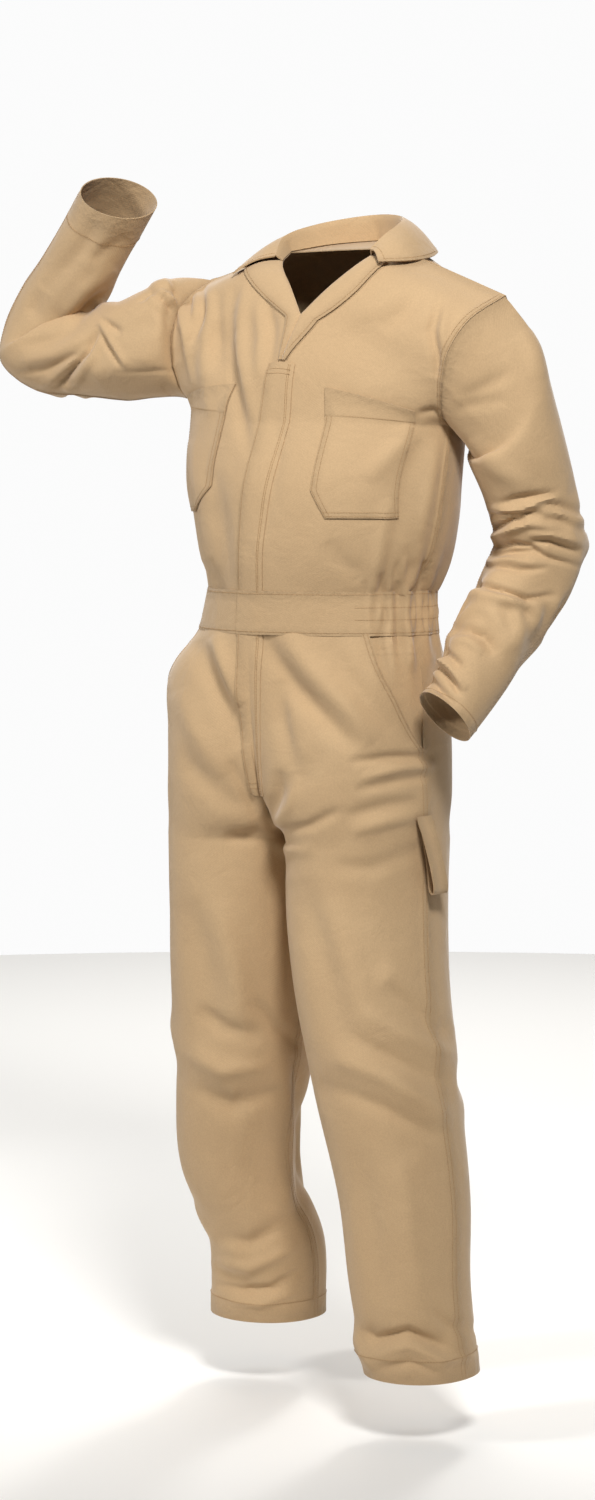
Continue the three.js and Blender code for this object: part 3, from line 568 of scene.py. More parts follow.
CREASES = {
    Area.RIGHT_SLEEVE: (
        Crease(((97, 330), (94, 337), (86, 353), (70, 372), (54, 388)), 4, -6),
        Crease(((100, 340), (94, 356), (80, 376), (66, 392)), 6, 4),
        Crease(((84, 345), (76, 360), (58, 376), (40, 386)), 7, 3.5),
        Crease(((101, 319), (110, 325), (121, 333)), 3.5, -3.5),
        Crease(((97, 326), (107, 345), (124, 367)), 3.5, -3.5),
        Crease(((101, 326), (112, 344), (129, 366)), 4, 3),
        Crease(((16, 374), (48, 369), (77, 354), (95, 332)), 4.5, -3.5),
        Crease(((21, 362), (55, 354), (84, 338)), 8, 3.5),
        Crease(((20, 346), (52, 340), (86, 322)), 8, -2.5),
        Crease(((46, 292), (60, 272), (80, 250), (98, 222)), 15, -5),
        Crease(((62, 318), (84, 290), (114, 266)), 10, 4.5),
        Crease(((70, 326), (92, 303), (108, 290)), 7, -4),
        Crease(((92, 262), (110, 248), (128, 236)), 9, -3),
        Crease(((138, 302), (152, 294), (166, 300), (180, 322)), 4, -5),
        Crease(((146, 298), (163, 295), (176, 304), (184, 318)), 5, 4.5),
        Crease(((152, 308), (166, 316), (178, 336)), 6, -2.5),
        Crease(((171, 282), (177, 296), (182, 316)), 3.5, -4.5),
        Crease(((150, 288), (166, 284), (176, 290)), 5, 4),
        Crease(((118, 372), (150, 371), (184, 370)), 2.5, -1.4),
        Crease(((60, 398), (90, 402), (126, 400)), 10, -2.5),
        Crease(((96, 300), (104, 308), (118, 306)), 7, 3),
    ),
    Area.LEFT_SLEEVE: (
        Crease(((500, 504), (516, 499), (534, 496), (558, 493)), 5, -4.5),
        Crease(((492, 508), (518, 511), (540, 501), (558, 497)), 5, 4),
        Crease(((488, 514), (500, 516), (520, 513), (542, 513)), 4, -4),
        Crease(((488, 530), (500, 526), (512, 521), (526, 519)), 4.5, -7),
        Crease(((486, 540), (500, 534), (514, 527), (530, 523), (560, 528)), 6, 4.5),
        Crease(((540, 503), (560, 506), (584, 514)), 6, -4),
        Crease(((544, 516), (564, 522), (586, 532)), 7, -3.5),
        Crease(((540, 512), (562, 515), (584, 524)), 6, 3),
        Crease(((486, 550), (498, 546), (514, 544), (530, 546), (541, 552)), 3.5, -5),
        Crease(((530, 541), (550, 541), (580, 552)), 4.5, -4.5),
        Crease(((528, 534), (552, 535), (582, 544)), 5, 3.5),
        Crease(((486, 556), (506, 552), (532, 551), (552, 559), (578, 566)), 4, -4),
        Crease(((484, 563), (508, 560), (536, 564)), 4.5, 3.5),
        Crease(((478, 566), (500, 566), (520, 570), (548, 568)), 4, -3),
        Crease(((462, 588), (478, 585), (505, 592), (528, 599), (556, 596)), 4.5, -5.5),
        Crease(((470, 594), (500, 600), (530, 607)), 7, 3.5),
        Crease(((498, 606), (522, 609), (538, 620)), 7, -3),
        Crease(((452, 630), (468, 630), (482, 635), (497, 653)), 7, -5),
        Crease(((448, 640), (468, 640), (484, 652)), 7, 4),
        Crease(((430, 650), (446, 653), (462, 668)), 6, -5),
        Crease(((422, 662), (440, 667), (450, 678), (460, 694)), 4.5, -6),
        Crease(((430, 658), (450, 668), (466, 690)), 5.5, 4),
        Crease(((420, 668), (434, 684), (456, 706)), 5, -4),
        Crease(((540, 614), (520, 632), (498, 654)), 12, 2.5),
        Crease(((462, 398), (486, 386), (512, 372)), 8, -2.5),
        Crease(((456, 410), (480, 404), (506, 398)), 7, -2.5),
        Crease(((470, 440), (500, 470), (530, 488)), 14, 3),
        Crease(((456, 356), (449, 378), (446, 402)), 5, -3.5),
        Crease(((524, 330), (534, 350), (538, 380)), 12, 2.5),
    ),
    Area.BODICE: (
        Crease(((206, 270), (193, 279), (188, 297), (192, 330)), 4.5, -5),
        Crease(((198, 272), (184, 282), (180, 300), (184, 330)), 5, 4),
        Crease(((203, 284), (200, 314), (194, 345)), 5, -4.5),
        Crease(((190, 300), (188, 330), (190, 360), (194, 384)), 5.5, 3.5),
        Crease(((210, 290), (208, 333), (207, 380)), 8, 4),
        Crease(((218, 290), (216, 333), (214, 370)), 8, -3),
        Crease(((236, 287), (230, 310), (228, 345), (236, 395), (248, 450)), 9, -4.5),
        Crease(((246, 290), (241, 320), (242, 360), (254, 420)), 9, 4),
        Crease(((266, 300), (272, 330), (268, 370)), 8, -3.5),
        Crease(((258, 300), (262, 340), (258, 380)), 8, 3),
        Crease(((282, 400), (276, 460), (262, 540)), 12, -2.5),
        Crease(((439, 302), (432, 330), (439, 368), (445, 408)), 7, -4.5),
        Crease(((447, 306), (442, 336), (446, 366)), 7, 3),
        Crease(((424, 292), (404, 312), (382, 330)), 12, -3),
        Crease(((404, 286), (380, 306), (352, 320)), 12, 2.5),
        Crease(((418, 414), (432, 411), (446, 412)), 5, -3),
        Crease(((412, 424), (400, 446), (366, 480)), 14, 3.5),
        Crease(((420, 440), (408, 480), (396, 540)), 14, -3.5),
        Crease(((436, 440), (426, 500), (414, 560)), 10, 3.5),
        Crease(((392, 500), (382, 540), (374, 590)), 12, 3),
        Crease(((330, 540), (340, 560), (362, 580)), 12, -2.5),
        Crease(((398, 560), (393, 580), (391, 600)), 4, -3.5),
        Crease(((405, 556), (402, 578), (400, 600)), 4, 3.5),
        Crease(((412, 562), (409, 582), (407, 600)), 4, -3.5),
        Crease(((426, 560), (423, 582), (421, 600)), 4.5, -3.5),
        Crease(((380, 572), (381, 586), (383, 600)), 5, -2.5),
        Crease(((206, 560), (216, 584), (222, 600)), 9, -3),
        Crease(((196, 440), (202, 500), (208, 570)), 12, 3.5),
        Crease(((212, 470), (222, 530), (228, 590)), 12, -3.5),
    ),
    Area.TROUSERS: (
        Crease(((262, 634), (276, 662), (296, 690), (326, 720), (356, 750)), 14, -7),
        Crease(((286, 636), (310, 668), (344, 704), (374, 742)), 15, 6),
        Crease(((330, 640), (344, 670), (366, 700), (392, 732)), 13, -3),
        Crease(((198, 640), (206, 664), (220, 696), (243, 748)), 14, -7),
        Crease(((214, 636), (226, 668), (240, 706)), 11, 6),
        Crease(((180, 690), (196, 730), (224, 776)), 14, 4),
        Crease(((276, 680), (281, 722), (292, 770)), 12, -5),
        Crease(((230, 760), (244, 790), (262, 826)), 8, -4),
        Crease(((280, 770), (276, 796), (268, 824)), 7, -4),
        Crease(((296, 776), (290, 804), (276, 828)), 7, 3.5),
        Crease(((268, 826), (284, 832), (310, 826), (340, 810)), 7, -4),
        Crease(((268, 840), (290, 850), (318, 848)), 9, 3.5),
        Crease(((262, 828), (250, 836), (226, 838)), 8, -3),
        Crease(((350, 762), (392, 757), (434, 757)), 6, -4),
        Crease(((362, 778), (402, 768), (434, 766)), 6, 3.5),
        Crease(((356, 790), (396, 782), (430, 776)), 6, -3),
        Crease(((346, 816), (384, 806), (418, 801)), 9, -3.5),
        Crease(((350, 832), (386, 822), (418, 814)), 9, 3.5),
        Crease(((330, 866), (370, 868), (420, 850)), 11, -3),
        Crease(((300, 880), (326, 970), (346, 1060)), 20, -5),
        Crease(((330, 900), (356, 980), (374, 1050)), 18, 4),
        Crease(((386, 982), (412, 1004), (446, 1034)), 12, -6),
        Crease(((364, 1012), (404, 1036), (452, 1058)), 11, 5),
        Crease(((352, 1036), (396, 1060), (448, 1084)), 10, -4.5),
        Crease(((338, 1058), (390, 1080), (446, 1118)), 12, 5.5),
        Crease(((334, 1088), (384, 1108), (440, 1140)), 11, -5),
        Crease(((360, 1150), (372, 1230), (384, 1310)), 16, -4),
        Crease(((400, 1160), (410, 1240), (424, 1310)), 16, 3.5),
        Crease(((350, 1320), (362, 1348), (374, 1370)), 6, 5),
        Crease(((362, 1330), (376, 1341), (408, 1331), (446, 1349)), 6, -6),
        Crease(((378, 1352), (410, 1346), (444, 1360), (474, 1356)), 6, 4.5),
        Crease(((380, 1368), (410, 1362), (440, 1374)), 6, -4),
        Crease(((430, 1310), (450, 1326), (476, 1330)), 8, -4),
        Crease(((186, 900), (206, 970), (212, 1040)), 18, -5),
        Crease(((216, 900), (236, 970), (246, 1040)), 16, 4.5),
        Crease(((196, 1010), (226, 1030), (262, 1034)), 11, -5),
        Crease(((190, 1052), (226, 1070), (268, 1066)), 11, 5),
        Crease(((196, 1088), (232, 1104), (280, 1092)), 11, -4.5),
        Crease(((252, 1000), (276, 1030), (300, 1046)), 8, -4),
        Crease(((296, 1060), (302, 1140), (300, 1220)), 8, -5),
        Crease(((282, 1050), (288, 1140), (284, 1220)), 9, 4),
        Crease(((216, 1238), (250, 1244), (292, 1216)), 9, -5),
        Crease(((214, 1262), (250, 1268), (296, 1246)), 8, 4.5),
        Crease(((216, 1284), (242, 1291), (272, 1288), (300, 1270)), 5.5, -5),
        Crease(((230, 1300), (260, 1304), (296, 1292)), 6, 3.5),
        Crease(((466, 1000), (462, 1030), (468, 1064)), 9, 4),
    ),
}


@dataclass(frozen=True)
class ThreeQuarterView:
    """The view in which creases are measured: 4.6 m away, 38 degrees to the wearer's left."""

    step: float = 1.29
    distance: float = 4600
    azimuth: float = 38
    elevation: float = 4.5
    target: tuple = (-43.2, -33.7, -634.7)
    middle: tuple = (297.5, 750)

    def axes(self) -> tuple:
        """The view's directions.

        Returns:
            The directions to the right, up and back towards the eye.
        """
        a, e = math.radians(self.azimuth), math.radians(self.elevation)
        right = np.array([math.cos(a), math.sin(a), 0])
        back = np.array([math.sin(a) * math.cos(e), -math.cos(a) * math.cos(e), math.sin(e)])
        return right, np.cross(back, right), back

    def seen_at(self, points: np.ndarray) -> np.ndarray:
        """Where points are seen.

        Args:
            points: Points in millimetres.

        Returns:
            How many steps right and down each one is seen.
        """
        right, up, back = self.axes()
        away = points - (np.array(self.target) + self.distance * back)
        scale = self.distance / self.step / -(away @ back)
        return np.stack([self.middle[0] + scale * (away @ right), self.middle[1] - scale * (away @ up)], -1)


VIEW = ThreeQuarterView()

# Creases are made deeper than they measure, so that they read in soft light
CREASE_DEPTH = 1.5

# On the side that faces away the same creases are guessed: moved a little, and weaker
FAR_SHIFT = np.array([9.0, 15.0])
FAR_SHARE = 0.8


def crease_height(seen: np.ndarray, crease: Crease) -> tuple:
    """The places that one crease reaches, and its height there.

    Args:
        seen: Where the surface's points are seen.
        crease: The crease.

    Returns:
        The reached places' numbers and their heights.
    """
    path = np.array(crease.path, float)
    reach = 2.4 * crease.width / VIEW.step
    low, high = path.min(0) - reach, path.max(0) + reach
    near = np.flatnonzero(((seen > low) & (seen < high)).all(1))
    some = seen[near]
    best = np.full(len(some), 1e9)
    place = np.zeros(len(some))
    lengths = np.linalg.norm(np.diff(path, axis=0), axis=1)
    ends = np.concatenate([[0], np.cumsum(lengths)]) / lengths.sum()
    for i, spine in enumerate(np.diff(path, axis=0)):
        k = np.clip((some - path[i]) @ spine / (spine @ spine), 0, 1)
        far = np.linalg.norm(some - (path[i] + k[:, None] * spine), axis=1)
        place = np.where(far < best, ends[i] + k * (ends[i + 1] - ends[i]), place)
        best = np.minimum(far, best)
    fade = 0.12 + 0.88 * np.sin(np.pi * np.clip(place, 0, 1)) ** 0.6
    return near, CREASE_DEPTH * crease.height * fade * np.exp(-((best * VIEW.step / crease.width) ** 2))


def crease_relief(points: np.ndarray, normals: np.ndarray, area: Area) -> np.ndarray:
    """The height of an area's creases at each point, on the near side and, moved a little, on the far one.

    Args:
        points: The surface's points.
        normals: The outward directions there.
        area: The part of the suit.

    Returns:
        The heights in millimetres.
    """
    flat = points.reshape(-1, 3)
    facing = soft_step((normals.reshape(-1, 3) @ VIEW.axes()[2] + 0.3) / 0.35)
    total = np.zeros(len(flat))
    seen = VIEW.seen_at(flat)
    for crease in CREASES[area]:
        near, height = crease_height(seen, crease)
        total[near] += height * facing[near]
        far, height = crease_height(seen - FAR_SHIFT, crease)
        total[far] += height * FAR_SHARE * (1 - facing[far])
    return total.reshape(points.shape[:-1])


class Drape:
    """A surface as it hangs: its own form with the folds, gathers and creases on it."""

    def __init__(self, surface: Callable[[np.ndarray, np.ndarray], np.ndarray], facing: int, area: Area):
        """Keeps what the drape hangs from.

        Args:
            surface: Gives points for places across and along.
            facing: 1 where a grid of its cells already faces outwards, else -1.
            area: The part of the suit that it belongs to.
        """
        self.surface = surface
        self.facing = facing
        self.area = area

    def crease_share(self, s: np.ndarray, t: np.ndarray) -> np.ndarray:
        """How much of a crease is left at each place, so that armhole seams stay closed.

        Args:
            s: How far across each point is.
            t: How far along.

        Returns:
            0 at an armhole seam, rising to 1 away from it.
        """
        if self.area is Area.TROUSERS:
            return np.ones_like(s)
        if self.area is Area.BODICE:
            return np.where(t > ARMPIT_AT - 0.06, soft_step((1 - s) / 0.07), 1.0)
        return soft_step(t / 0.045)

    def normal(self, s: np.ndarray, t: np.ndarray) -> np.ndarray:
        """The outward direction at each place.

        Args:
            s: How far across each point is.
            t: How far along.

        Returns:
            The directions, at length one.
        """
        d, e = 0.004, 0.002
        across = self.surface(s + d, t) - self.surface(s - d, t)
        low, high = np.maximum(t - e, 0), np.minimum(t + e, 1)
        up = self.surface(s, high) - self.surface(s, low)
        return unit(np.cross(across, up)) * self.facing

    def place(self, s: np.ndarray, t: np.ndarray, out: np.ndarray | float = 0.0) -> tuple:
        """Points on the hanging cloth, moved out of it, and the outward directions there.

        Args:
            s: How far across each point is.
            t: How far along.
            out: How far out of the cloth's middle.

        Returns:
            The points and the directions.
        """
        s, t = np.broadcast_arrays(np.asarray(s, float), np.asarray(t, float))
        base = self.surface(s, t)
        direction = self.normal(s, t)
        creased = crease_relief(base, direction, self.area) * self.crease_share(s, t)
        height = np.asarray(out) + GATHERS.relief(base) + creased
        return push_folds(base, ALL_FOLDS) + direction * height[..., None], direction

    def row_length(self, t: float) -> float:
        """The length of a row across, in millimetres."""
        points = self.surface(np.linspace(0, 1, 25), np.full(25, t))
        return float(np.linalg.norm(np.diff(points, axis=0), axis=1).sum())

    def row_lengths(self, t: np.ndarray) -> np.ndarray:
        """The lengths of a grid's rows, as a column; each row's place is in the grid's first column."""
        return np.array([self.row_length(float(v)) for v in t[:, 0]])[:, None]

    def side_length(self, s: float) -> float:
        """The length along the piece at one place across it."""
        points = self.surface(np.full(81, s), np.linspace(0, 1, 81))
        return float(np.linalg.norm(np.diff(points, axis=0), axis=1).sum())


@dataclass(frozen=True)
class Twill:
    """Cotton twill in one colour.

    Woven in a steep diagonal and worn soft. It reads as matt, with a pale bloom where it turns away,
    faint puckers along its seams and a slow change of tint where it has faded.
    """

    name: str = "cotton_twill"
    base: str = "b0926d"
    worn: str = "bda07a"
    rib_mm: float = 2.2
    crumple_mm: float = 46
    pucker_mm: float = 9
    roughness: float = 0.82


@dataclass(frozen=True)
class Thread:
    """Spun polyester sewing thread.

    A fine raised row, a little darker and less matt than the cloth, that marks each seam.
    """

    name: str = "sewing_thread"
    base: str = "a5855f"
    roughness: float = 0.55


@dataclass(frozen=True)
class Paper:
    """Studio paper: a flat pale ground with no shine, so that only the suit's shadow shows on it."""

    name: str = "studio_paper"
    base: str = "f4f2ee"
    roughness: float = 0.95


def linear(code: str) -> tuple:
    """An sRGB hex colour as linear red, green, blue and alpha."""
    parts = [int(code[i:i + 2], 16) / 255 for i in (0, 2, 4)]
    return tuple(p / 12.92 if p <= 0.04045 else ((p + 0.055) / 1.055) ** 2.4 for p in parts) + (1.0,)


def add_node(tree: bpy.types.NodeTree, kind: str, settings: dict | None = None,
             inputs: dict | None = None) -> bpy.types.Node:
    """Adds a node with its settings and its inputs.

    Args:
        tree: The node tree.
        kind: The node's type name.
        settings: Attributes of the node.
        inputs: Socket names or numbers, each with a value or with another node's output socket.

    Returns:
        The node.
    """
    node = tree.nodes.new(kind)
    for name, value in (settings or {}).items():
        setattr(node, name, value)
    for name, value in (inputs or {}).items():
        socket = node.inputs[name]
        if isinstance(value, bpy.types.NodeSocket):
            tree.links.new(value, socket)
        else:
            socket.default_value = value
    return node


def empty_material(name: str) -> tuple:
    """Makes a material that holds only its shader.

    Args:
        name: The material's name.

    Returns:
        The material, its tree and its shader.
    """
    material = bpy.data.materials.new(name)
    material.use_nodes = True
    tree = material.node_tree
    tree.nodes.clear()
    shader = add_node(tree, "ShaderNodeBsdfPrincipled")
    add_node(tree, "ShaderNodeOutputMaterial", inputs={"Surface": shader.outputs["BSDF"]})
    return material, tree, shader


def twill_material(finish: Twill) -> bpy.types.Material:
    """The cloth's material.

    Args:
        finish: The cloth's colours and sizes.

    Returns:
        A material that reads the cloth's own map, in metres, and its seam attribute.
    """
    material, tree, shader = empty_material(finish.name)
    place = add_node(tree, "ShaderNodeTexCoord")
    cut = add_node(tree, "ShaderNodeUVMap", {"uv_map": "cut"})
    seam = add_node(tree, "ShaderNodeAttribute", {"attribute_name": "seam"})
    fade = add_node(tree, "ShaderNodeTexNoise", inputs={
        "Vector": place.outputs["Object"], "Scale": 7.0, "Detail": 3.0, "Roughness": 0.6})
    fleck = add_node(tree, "ShaderNodeTexNoise", inputs={
        "Vector": place.outputs["Object"], "Scale": 520.0, "Detail": 2.0})
    tint = add_node(tree, "ShaderNodeMix", {"data_type": "RGBA"}, {
        0: fade.outputs["Fac"], 6: linear(finish.base), 7: linear(finish.worn)})
    speckle = add_node(tree, "ShaderNodeMapRange", inputs={
        "Value": fleck.outputs["Fac"], "From Min": 0.3, "From Max": 0.7, "To Min": 0.95, "To Max": 1.05})
    # Painted shade: the cloth's colour darkens towards each seam, down to 0.86 of itself at the seam
    seam_painted_shade = add_node(tree, "ShaderNodeMapRange", inputs={
        "Value": seam.outputs["Fac"], "To Min": 1.0, "To Max": 0.86})
    shade = add_node(tree, "ShaderNodeMath", {"operation": "MULTIPLY"}, {
        0: speckle.outputs["Result"], 1: seam_painted_shade.outputs["Result"]})
    colour = add_node(tree, "ShaderNodeVectorMath", {"operation": "SCALE"}, {
        0: tint.outputs[2], "Scale": shade.outputs["Value"]})
    # The real ribs are about 0.6 mm apart; they are drawn coarser so that a close view shows them
    turned = add_node(tree, "ShaderNodeMapping", inputs={
        "Vector": cut.outputs["UV"], "Rotation": (0, 0, math.radians(63)),
        "Scale": (1 / (finish.rib_mm * MM),) * 3})
    ribs = add_node(tree, "ShaderNodeTexWave", {"wave_type": "BANDS", "bands_direction": "X"}, {
        "Vector": turned.outputs["Vector"], "Scale": 0.32, "Distortion": 0.6, "Detail": 1.0})
    crumple = add_node(tree, "ShaderNodeTexNoise", inputs={
        "Vector": place.outputs["Object"], "Scale": 1 / (finish.crumple_mm * MM), "Detail": 3.5,
        "Roughness": 0.52, "Distortion": 0.7})
    pucker = add_node(tree, "ShaderNodeTexNoise", inputs={
        "Vector": place.outputs["Object"], "Scale": 1 / (finish.pucker_mm * MM), "Detail": 2.0})
    puckers = add_node(tree, "ShaderNodeMath", {"operation": "MULTIPLY"}, {
        0: pucker.outputs["Fac"], 1: seam.outputs["Fac"]})
    bump_rib = add_node(tree, "ShaderNodeBump", inputs={
        "Strength": 0.16, "Distance": 0.0004, "Height": ribs.outputs["Fac"]})
    bump_crumple = add_node(tree, "ShaderNodeBump", inputs={
        "Strength": 0.4, "Distance": 0.006, "Height": crumple.outputs["Fac"],
        "Normal": bump_rib.outputs["Normal"]})
    bump_pucker = add_node(tree, "ShaderNodeBump", inputs={
        "Strength": 0.8, "Distance": 0.0022, "Height": puckers.outputs["Value"],
        "Normal": bump_crumple.outputs["Normal"]})
    tree.links.new(colour.outputs["Vector"], shader.inputs["Base Color"])
    tree.links.new(bump_pucker.outputs["Normal"], shader.inputs["Normal"])
    shader.inputs["Roughness"].default_value = finish.roughness
    shader.inputs["Sheen Weight"].default_value = 0.22
    shader.inputs["Sheen Roughness"].default_value = 0.45
    shader.inputs["Specular IOR Level"].default_value = 0.25
    return material


def plain_material(finish: Thread | Paper) -> bpy.types.Material:
    """Makes a material of one colour.

    Args:
        finish: The colour and the roughness.

    Returns:
        The material.
    """
    material, _, shader = empty_material(finish.name)
    shader.inputs["Base Color"].default_value = linear(finish.base)
    shader.inputs["Roughness"].default_value = finish.roughness
    shader.inputs["Specular IOR Level"].default_value = 0.2
    return material


@dataclass
class Cut:
    """What a sheet was cut to before it was sewn, in metres, and how it is held."""

    flat: tuple
    area: float | None = None
    held: Held = Held.HUNG


@dataclass
class Sheet:
    """A grid of cloth that gets its wall and becomes one piece."""

    name: str
    nodes: tuple
    cut: Cut
    grids: list = field(default_factory=list)
    wall: float = WALL

    def add(self, points: np.ndarray, normals: np.ndarray, facing: int, seam: np.ndarray,
            plan: np.ndarray, tube: bool = False) -> None:
        """Adds a grid.

        Args:
            points: The wall's middle, as rows of points in millimetres.
            normals: The outward direction at each.
            facing: 1 where the grid's cells already face outwards.
            seam: How near a seam each point is, from 0 to 1.
            plan: Each point's place in the flat cut, in metres.
            tube: Whether its first and last column meet.
        """
        self.grids.append((points, normals, facing, seam, plan, tube))

    def build(self, material: bpy.types.Material) -> None:
        """Args:
            material: The cloth.
        """
        corners, faces, plans, seams = [], [], [], []
        start = 0
        for points, normals, facing, seam, plan, tube in self.grids:
            rows, columns = points.shape[:2]
            count = rows * columns
            half = normals * (self.wall / 2)
            corners += [(points + half).reshape(-1, 3), (points - half).reshape(-1, 3)]
            plans += [plan.reshape(-1, 2)] * 2
            seams += [seam.reshape(-1)] * 2
            ids = np.arange(count).reshape(rows, columns)
            quads = np.stack([ids[:-1, :-1], ids[:-1, 1:], ids[1:, 1:], ids[1:, :-1]], -1).reshape(-1, 4)
            if facing < 0:
                quads = quads[:, [0, 3, 2, 1]]
            rims = [(ids[0, :-1], ids[0, 1:]), (ids[-1, 1:], ids[-1, :-1])]
            if not tube:
                rims += [(ids[1:, 0], ids[:-1, 0]), (ids[:-1, -1], ids[1:, -1])]
            walls = [np.stack([a, a + count, b + count, b], -1) for a, b in rims]
            if facing < 0:
                walls = [w[:, [0, 3, 2, 1]] for w in walls]
            faces += [start + quads, start + quads[:, ::-1] + count] + [start + w for w in walls]
            start += 2 * count
        mesh = bpy.data.meshes.new(self.name)
        mesh.from_pydata((np.concatenate(corners) * MM).tolist(), [], np.concatenate(faces).tolist())
        self._label(mesh, np.concatenate(plans), np.concatenate(seams))
        mesh.materials.append(material)
        self._close(mesh)
        piece = bpy.data.objects.new(self.name, mesh)
        bpy.context.collection.objects.link(piece)
        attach(piece, "root")
        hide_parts(*self.nodes)
        LOG.info("%s: %d faces", self.name, len(mesh.polygons))

    def _label(self, mesh: bpy.types.Mesh, plan: np.ndarray, seam: np.ndarray) -> None:
        """Writes the flat cut as a map and the seams as an attribute.

        Args:
            mesh: The wall's mesh.
            plan: Each point's place in the flat cut.
            seam: How near a seam each point is.
        """
        layer = mesh.uv_layers.new(name="cut")
        order = np.empty(len(mesh.loops), dtype=np.int64)
        mesh.loops.foreach_get("vertex_index", order)
        layer.data.foreach_set("uv", plan[order].astype(np.float32).ravel())
        near = mesh.attributes.new("seam", "FLOAT", "POINT")
        near.data.foreach_set("value", seam.astype(np.float32))

    def _close(self, mesh: bpy.types.Mesh) -> None:
        """Joins meeting columns and shades the wall smooth, with its rims sharp.

        Args:
            mesh: The wall's mesh.
        """
        shape = bmesh.new()
        shape.from_mesh(mesh)
        bmesh.ops.remove_doubles(shape, verts=shape.verts, dist=1e-6)
        shape.to_mesh(mesh)
        shape.free()
        mesh.shade_smooth()
        mesh.set_sharp_from_angle(angle=math.radians(50))


class StitchTree:
    """The Geometry Nodes tree that sews stitches along curves."""

    pitch_mm = 3.6
    stitch_mm = 2.8
    radius_mm = 0.36

    def __init__(self, material: bpy.types.Material):
        """Builds the tree once for all seams.

        Args:
            material: The thread.
        """
        tree = bpy.data.node_groups.new("stitches", "GeometryNodeTree")
        tree.interface.new_socket("Geometry", in_out="INPUT", socket_type="NodeSocketGeometry")
        tree.interface.new_socket("Geometry", in_out="OUTPUT", socket_type="NodeSocketGeometry")
        self.sizes = []
        for name, size in (("Pitch", self.pitch_mm), ("Stitch Length", self.stitch_mm),
                           ("Thread Radius", self.radius_mm)):
            socket = tree.interface.new_socket(name, in_out="INPUT", socket_type="NodeSocketFloat")
            socket.default_value = size * MM
            self.sizes.append((socket.identifier, size * MM))
        start = add_node(tree, "NodeGroupInput")
        spaced = add_node(tree, "GeometryNodeResampleCurve", {"mode": "LENGTH"}, {
            "Curve": start.outputs["Geometry"], "Length": start.outputs["Pitch"]})
        tangent = add_node(tree, "GeometryNodeInputTangent")
        turn = add_node(tree, "FunctionNodeAlignRotationToVector", {"axis": "Z"}, {
            "Vector": tangent.outputs["Tangent"]})
        stitch = add_node(tree, "GeometryNodeMeshCylinder", {"fill_type": "NGON"}, {
            "Vertices": 5, "Radius": start.outputs["Thread Radius"],
            "Depth": start.outputs["Stitch Length"]})
        placed = add_node(tree, "GeometryNodeInstanceOnPoints", inputs={
            "Points": spaced.outputs["Curve"], "Instance": stitch.outputs["Mesh"],
            "Rotation": turn.outputs["Rotation"]})
        solid = add_node(tree, "GeometryNodeRealizeInstances", inputs={
            "Geometry": placed.outputs["Instances"]})
        dressed = add_node(tree, "GeometryNodeSetMaterial", inputs={
            "Geometry": solid.outputs["Geometry"], "Material": material})
        add_node(tree, "NodeGroupOutput", inputs={"Geometry": dressed.outputs["Geometry"]})
        self.tree = tree

    def sew(self, name: str, lines: Sequence[np.ndarray]) -> None:
        """Sews stitches along lines, as one plain mesh.

        Args:
            name: The piece's name.
            lines: Each line's points in millimetres.
        """
        data = bpy.data.curves.new(name + "_path", "CURVE")
        data.dimensions = "3D"
        for line in lines:
            spline = data.splines.new("POLY")
            spline.points.add(len(line) - 1)
            places = np.c_[line * MM, np.ones(len(line))].astype(np.float32)
            spline.points.foreach_set("co", places.ravel())
        path = bpy.data.objects.new(name + "_path", data)
        bpy.context.collection.objects.link(path)
        sewing = path.modifiers.new("stitches", "NODES")
        sewing.node_group = self.tree
        for identifier, size in self.sizes:
            sewing[identifier] = size
        depsgraph = bpy.context.evaluated_depsgraph_get()
        mesh = bpy.data.meshes.new_from_object(path.evaluated_get(depsgraph))
        path.modifiers.remove(sewing)
        bpy.data.objects.remove(path)
        mesh.name = name
        piece = bpy.data.objects.new(name, mesh)
        bpy.context.collection.objects.link(piece)
        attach(piece, "root")
        LOG.info("%s: %d faces", name, len(mesh.polygons))


def quarter_row(section: Section, side: Side, face: Face) -> Row:
    """One quarter of a body section as a panel's row.

    Args:
        section: The section's centre and half sizes.
        side: Left or right.
        face: Front or back.

    Returns:
        The row, from the centre line to the side seam.
    """
    turn = -math.radians(section.twist)
    cos, sin = math.cos(turn), math.sin(turn)
    wide = side.value * (section.left if side is Side.LEFT else section.right)
    deep = face.value * (section.front if face is Face.FRONT else section.back)

    def spin(x: float, y: float) -> np.ndarray:
        """A flat direction turned by the section's twist."""
        return np.array([x * cos - y * sin, x * sin + y * cos, 0])

    centre = np.array([section.x, section.y, section.z], float)
    return Row(section.at, tuple(centre + spin(0, deep)), tuple(spin(wide * QUARTER, 0)),
               tuple(spin(0, deep * QUARTER)), tuple(centre + spin(wide, 0)))


def bodice_panel(side: Side, face: Face) -> Panel:
    """One quarter of the bodice, from the waist to the shoulder seam.

    Args:
        side: Left or right.
        face: Front or back.

    Returns:
        The panel.
    """
    holes = {at: (front if face is Face.FRONT else back) for at, front, back in ARMHOLE[side]}
    low = [quarter_row(section, side, face) for section in BODY]
    last = low[-1]
    low[-1] = Row(last.at, last.edge, last.leave, last.arrive, holes[ARMPIT_AT])
    high = [Row(at, edge, leave, arrive, holes[at]) for at, edge, leave, arrive in BODICE_TOP[(face, side)]]
    corner = V_AT if face is Face.FRONT else NECK_AT
    return Panel(low + high, (ARMPIT_AT, corner), -face.value * side.value)


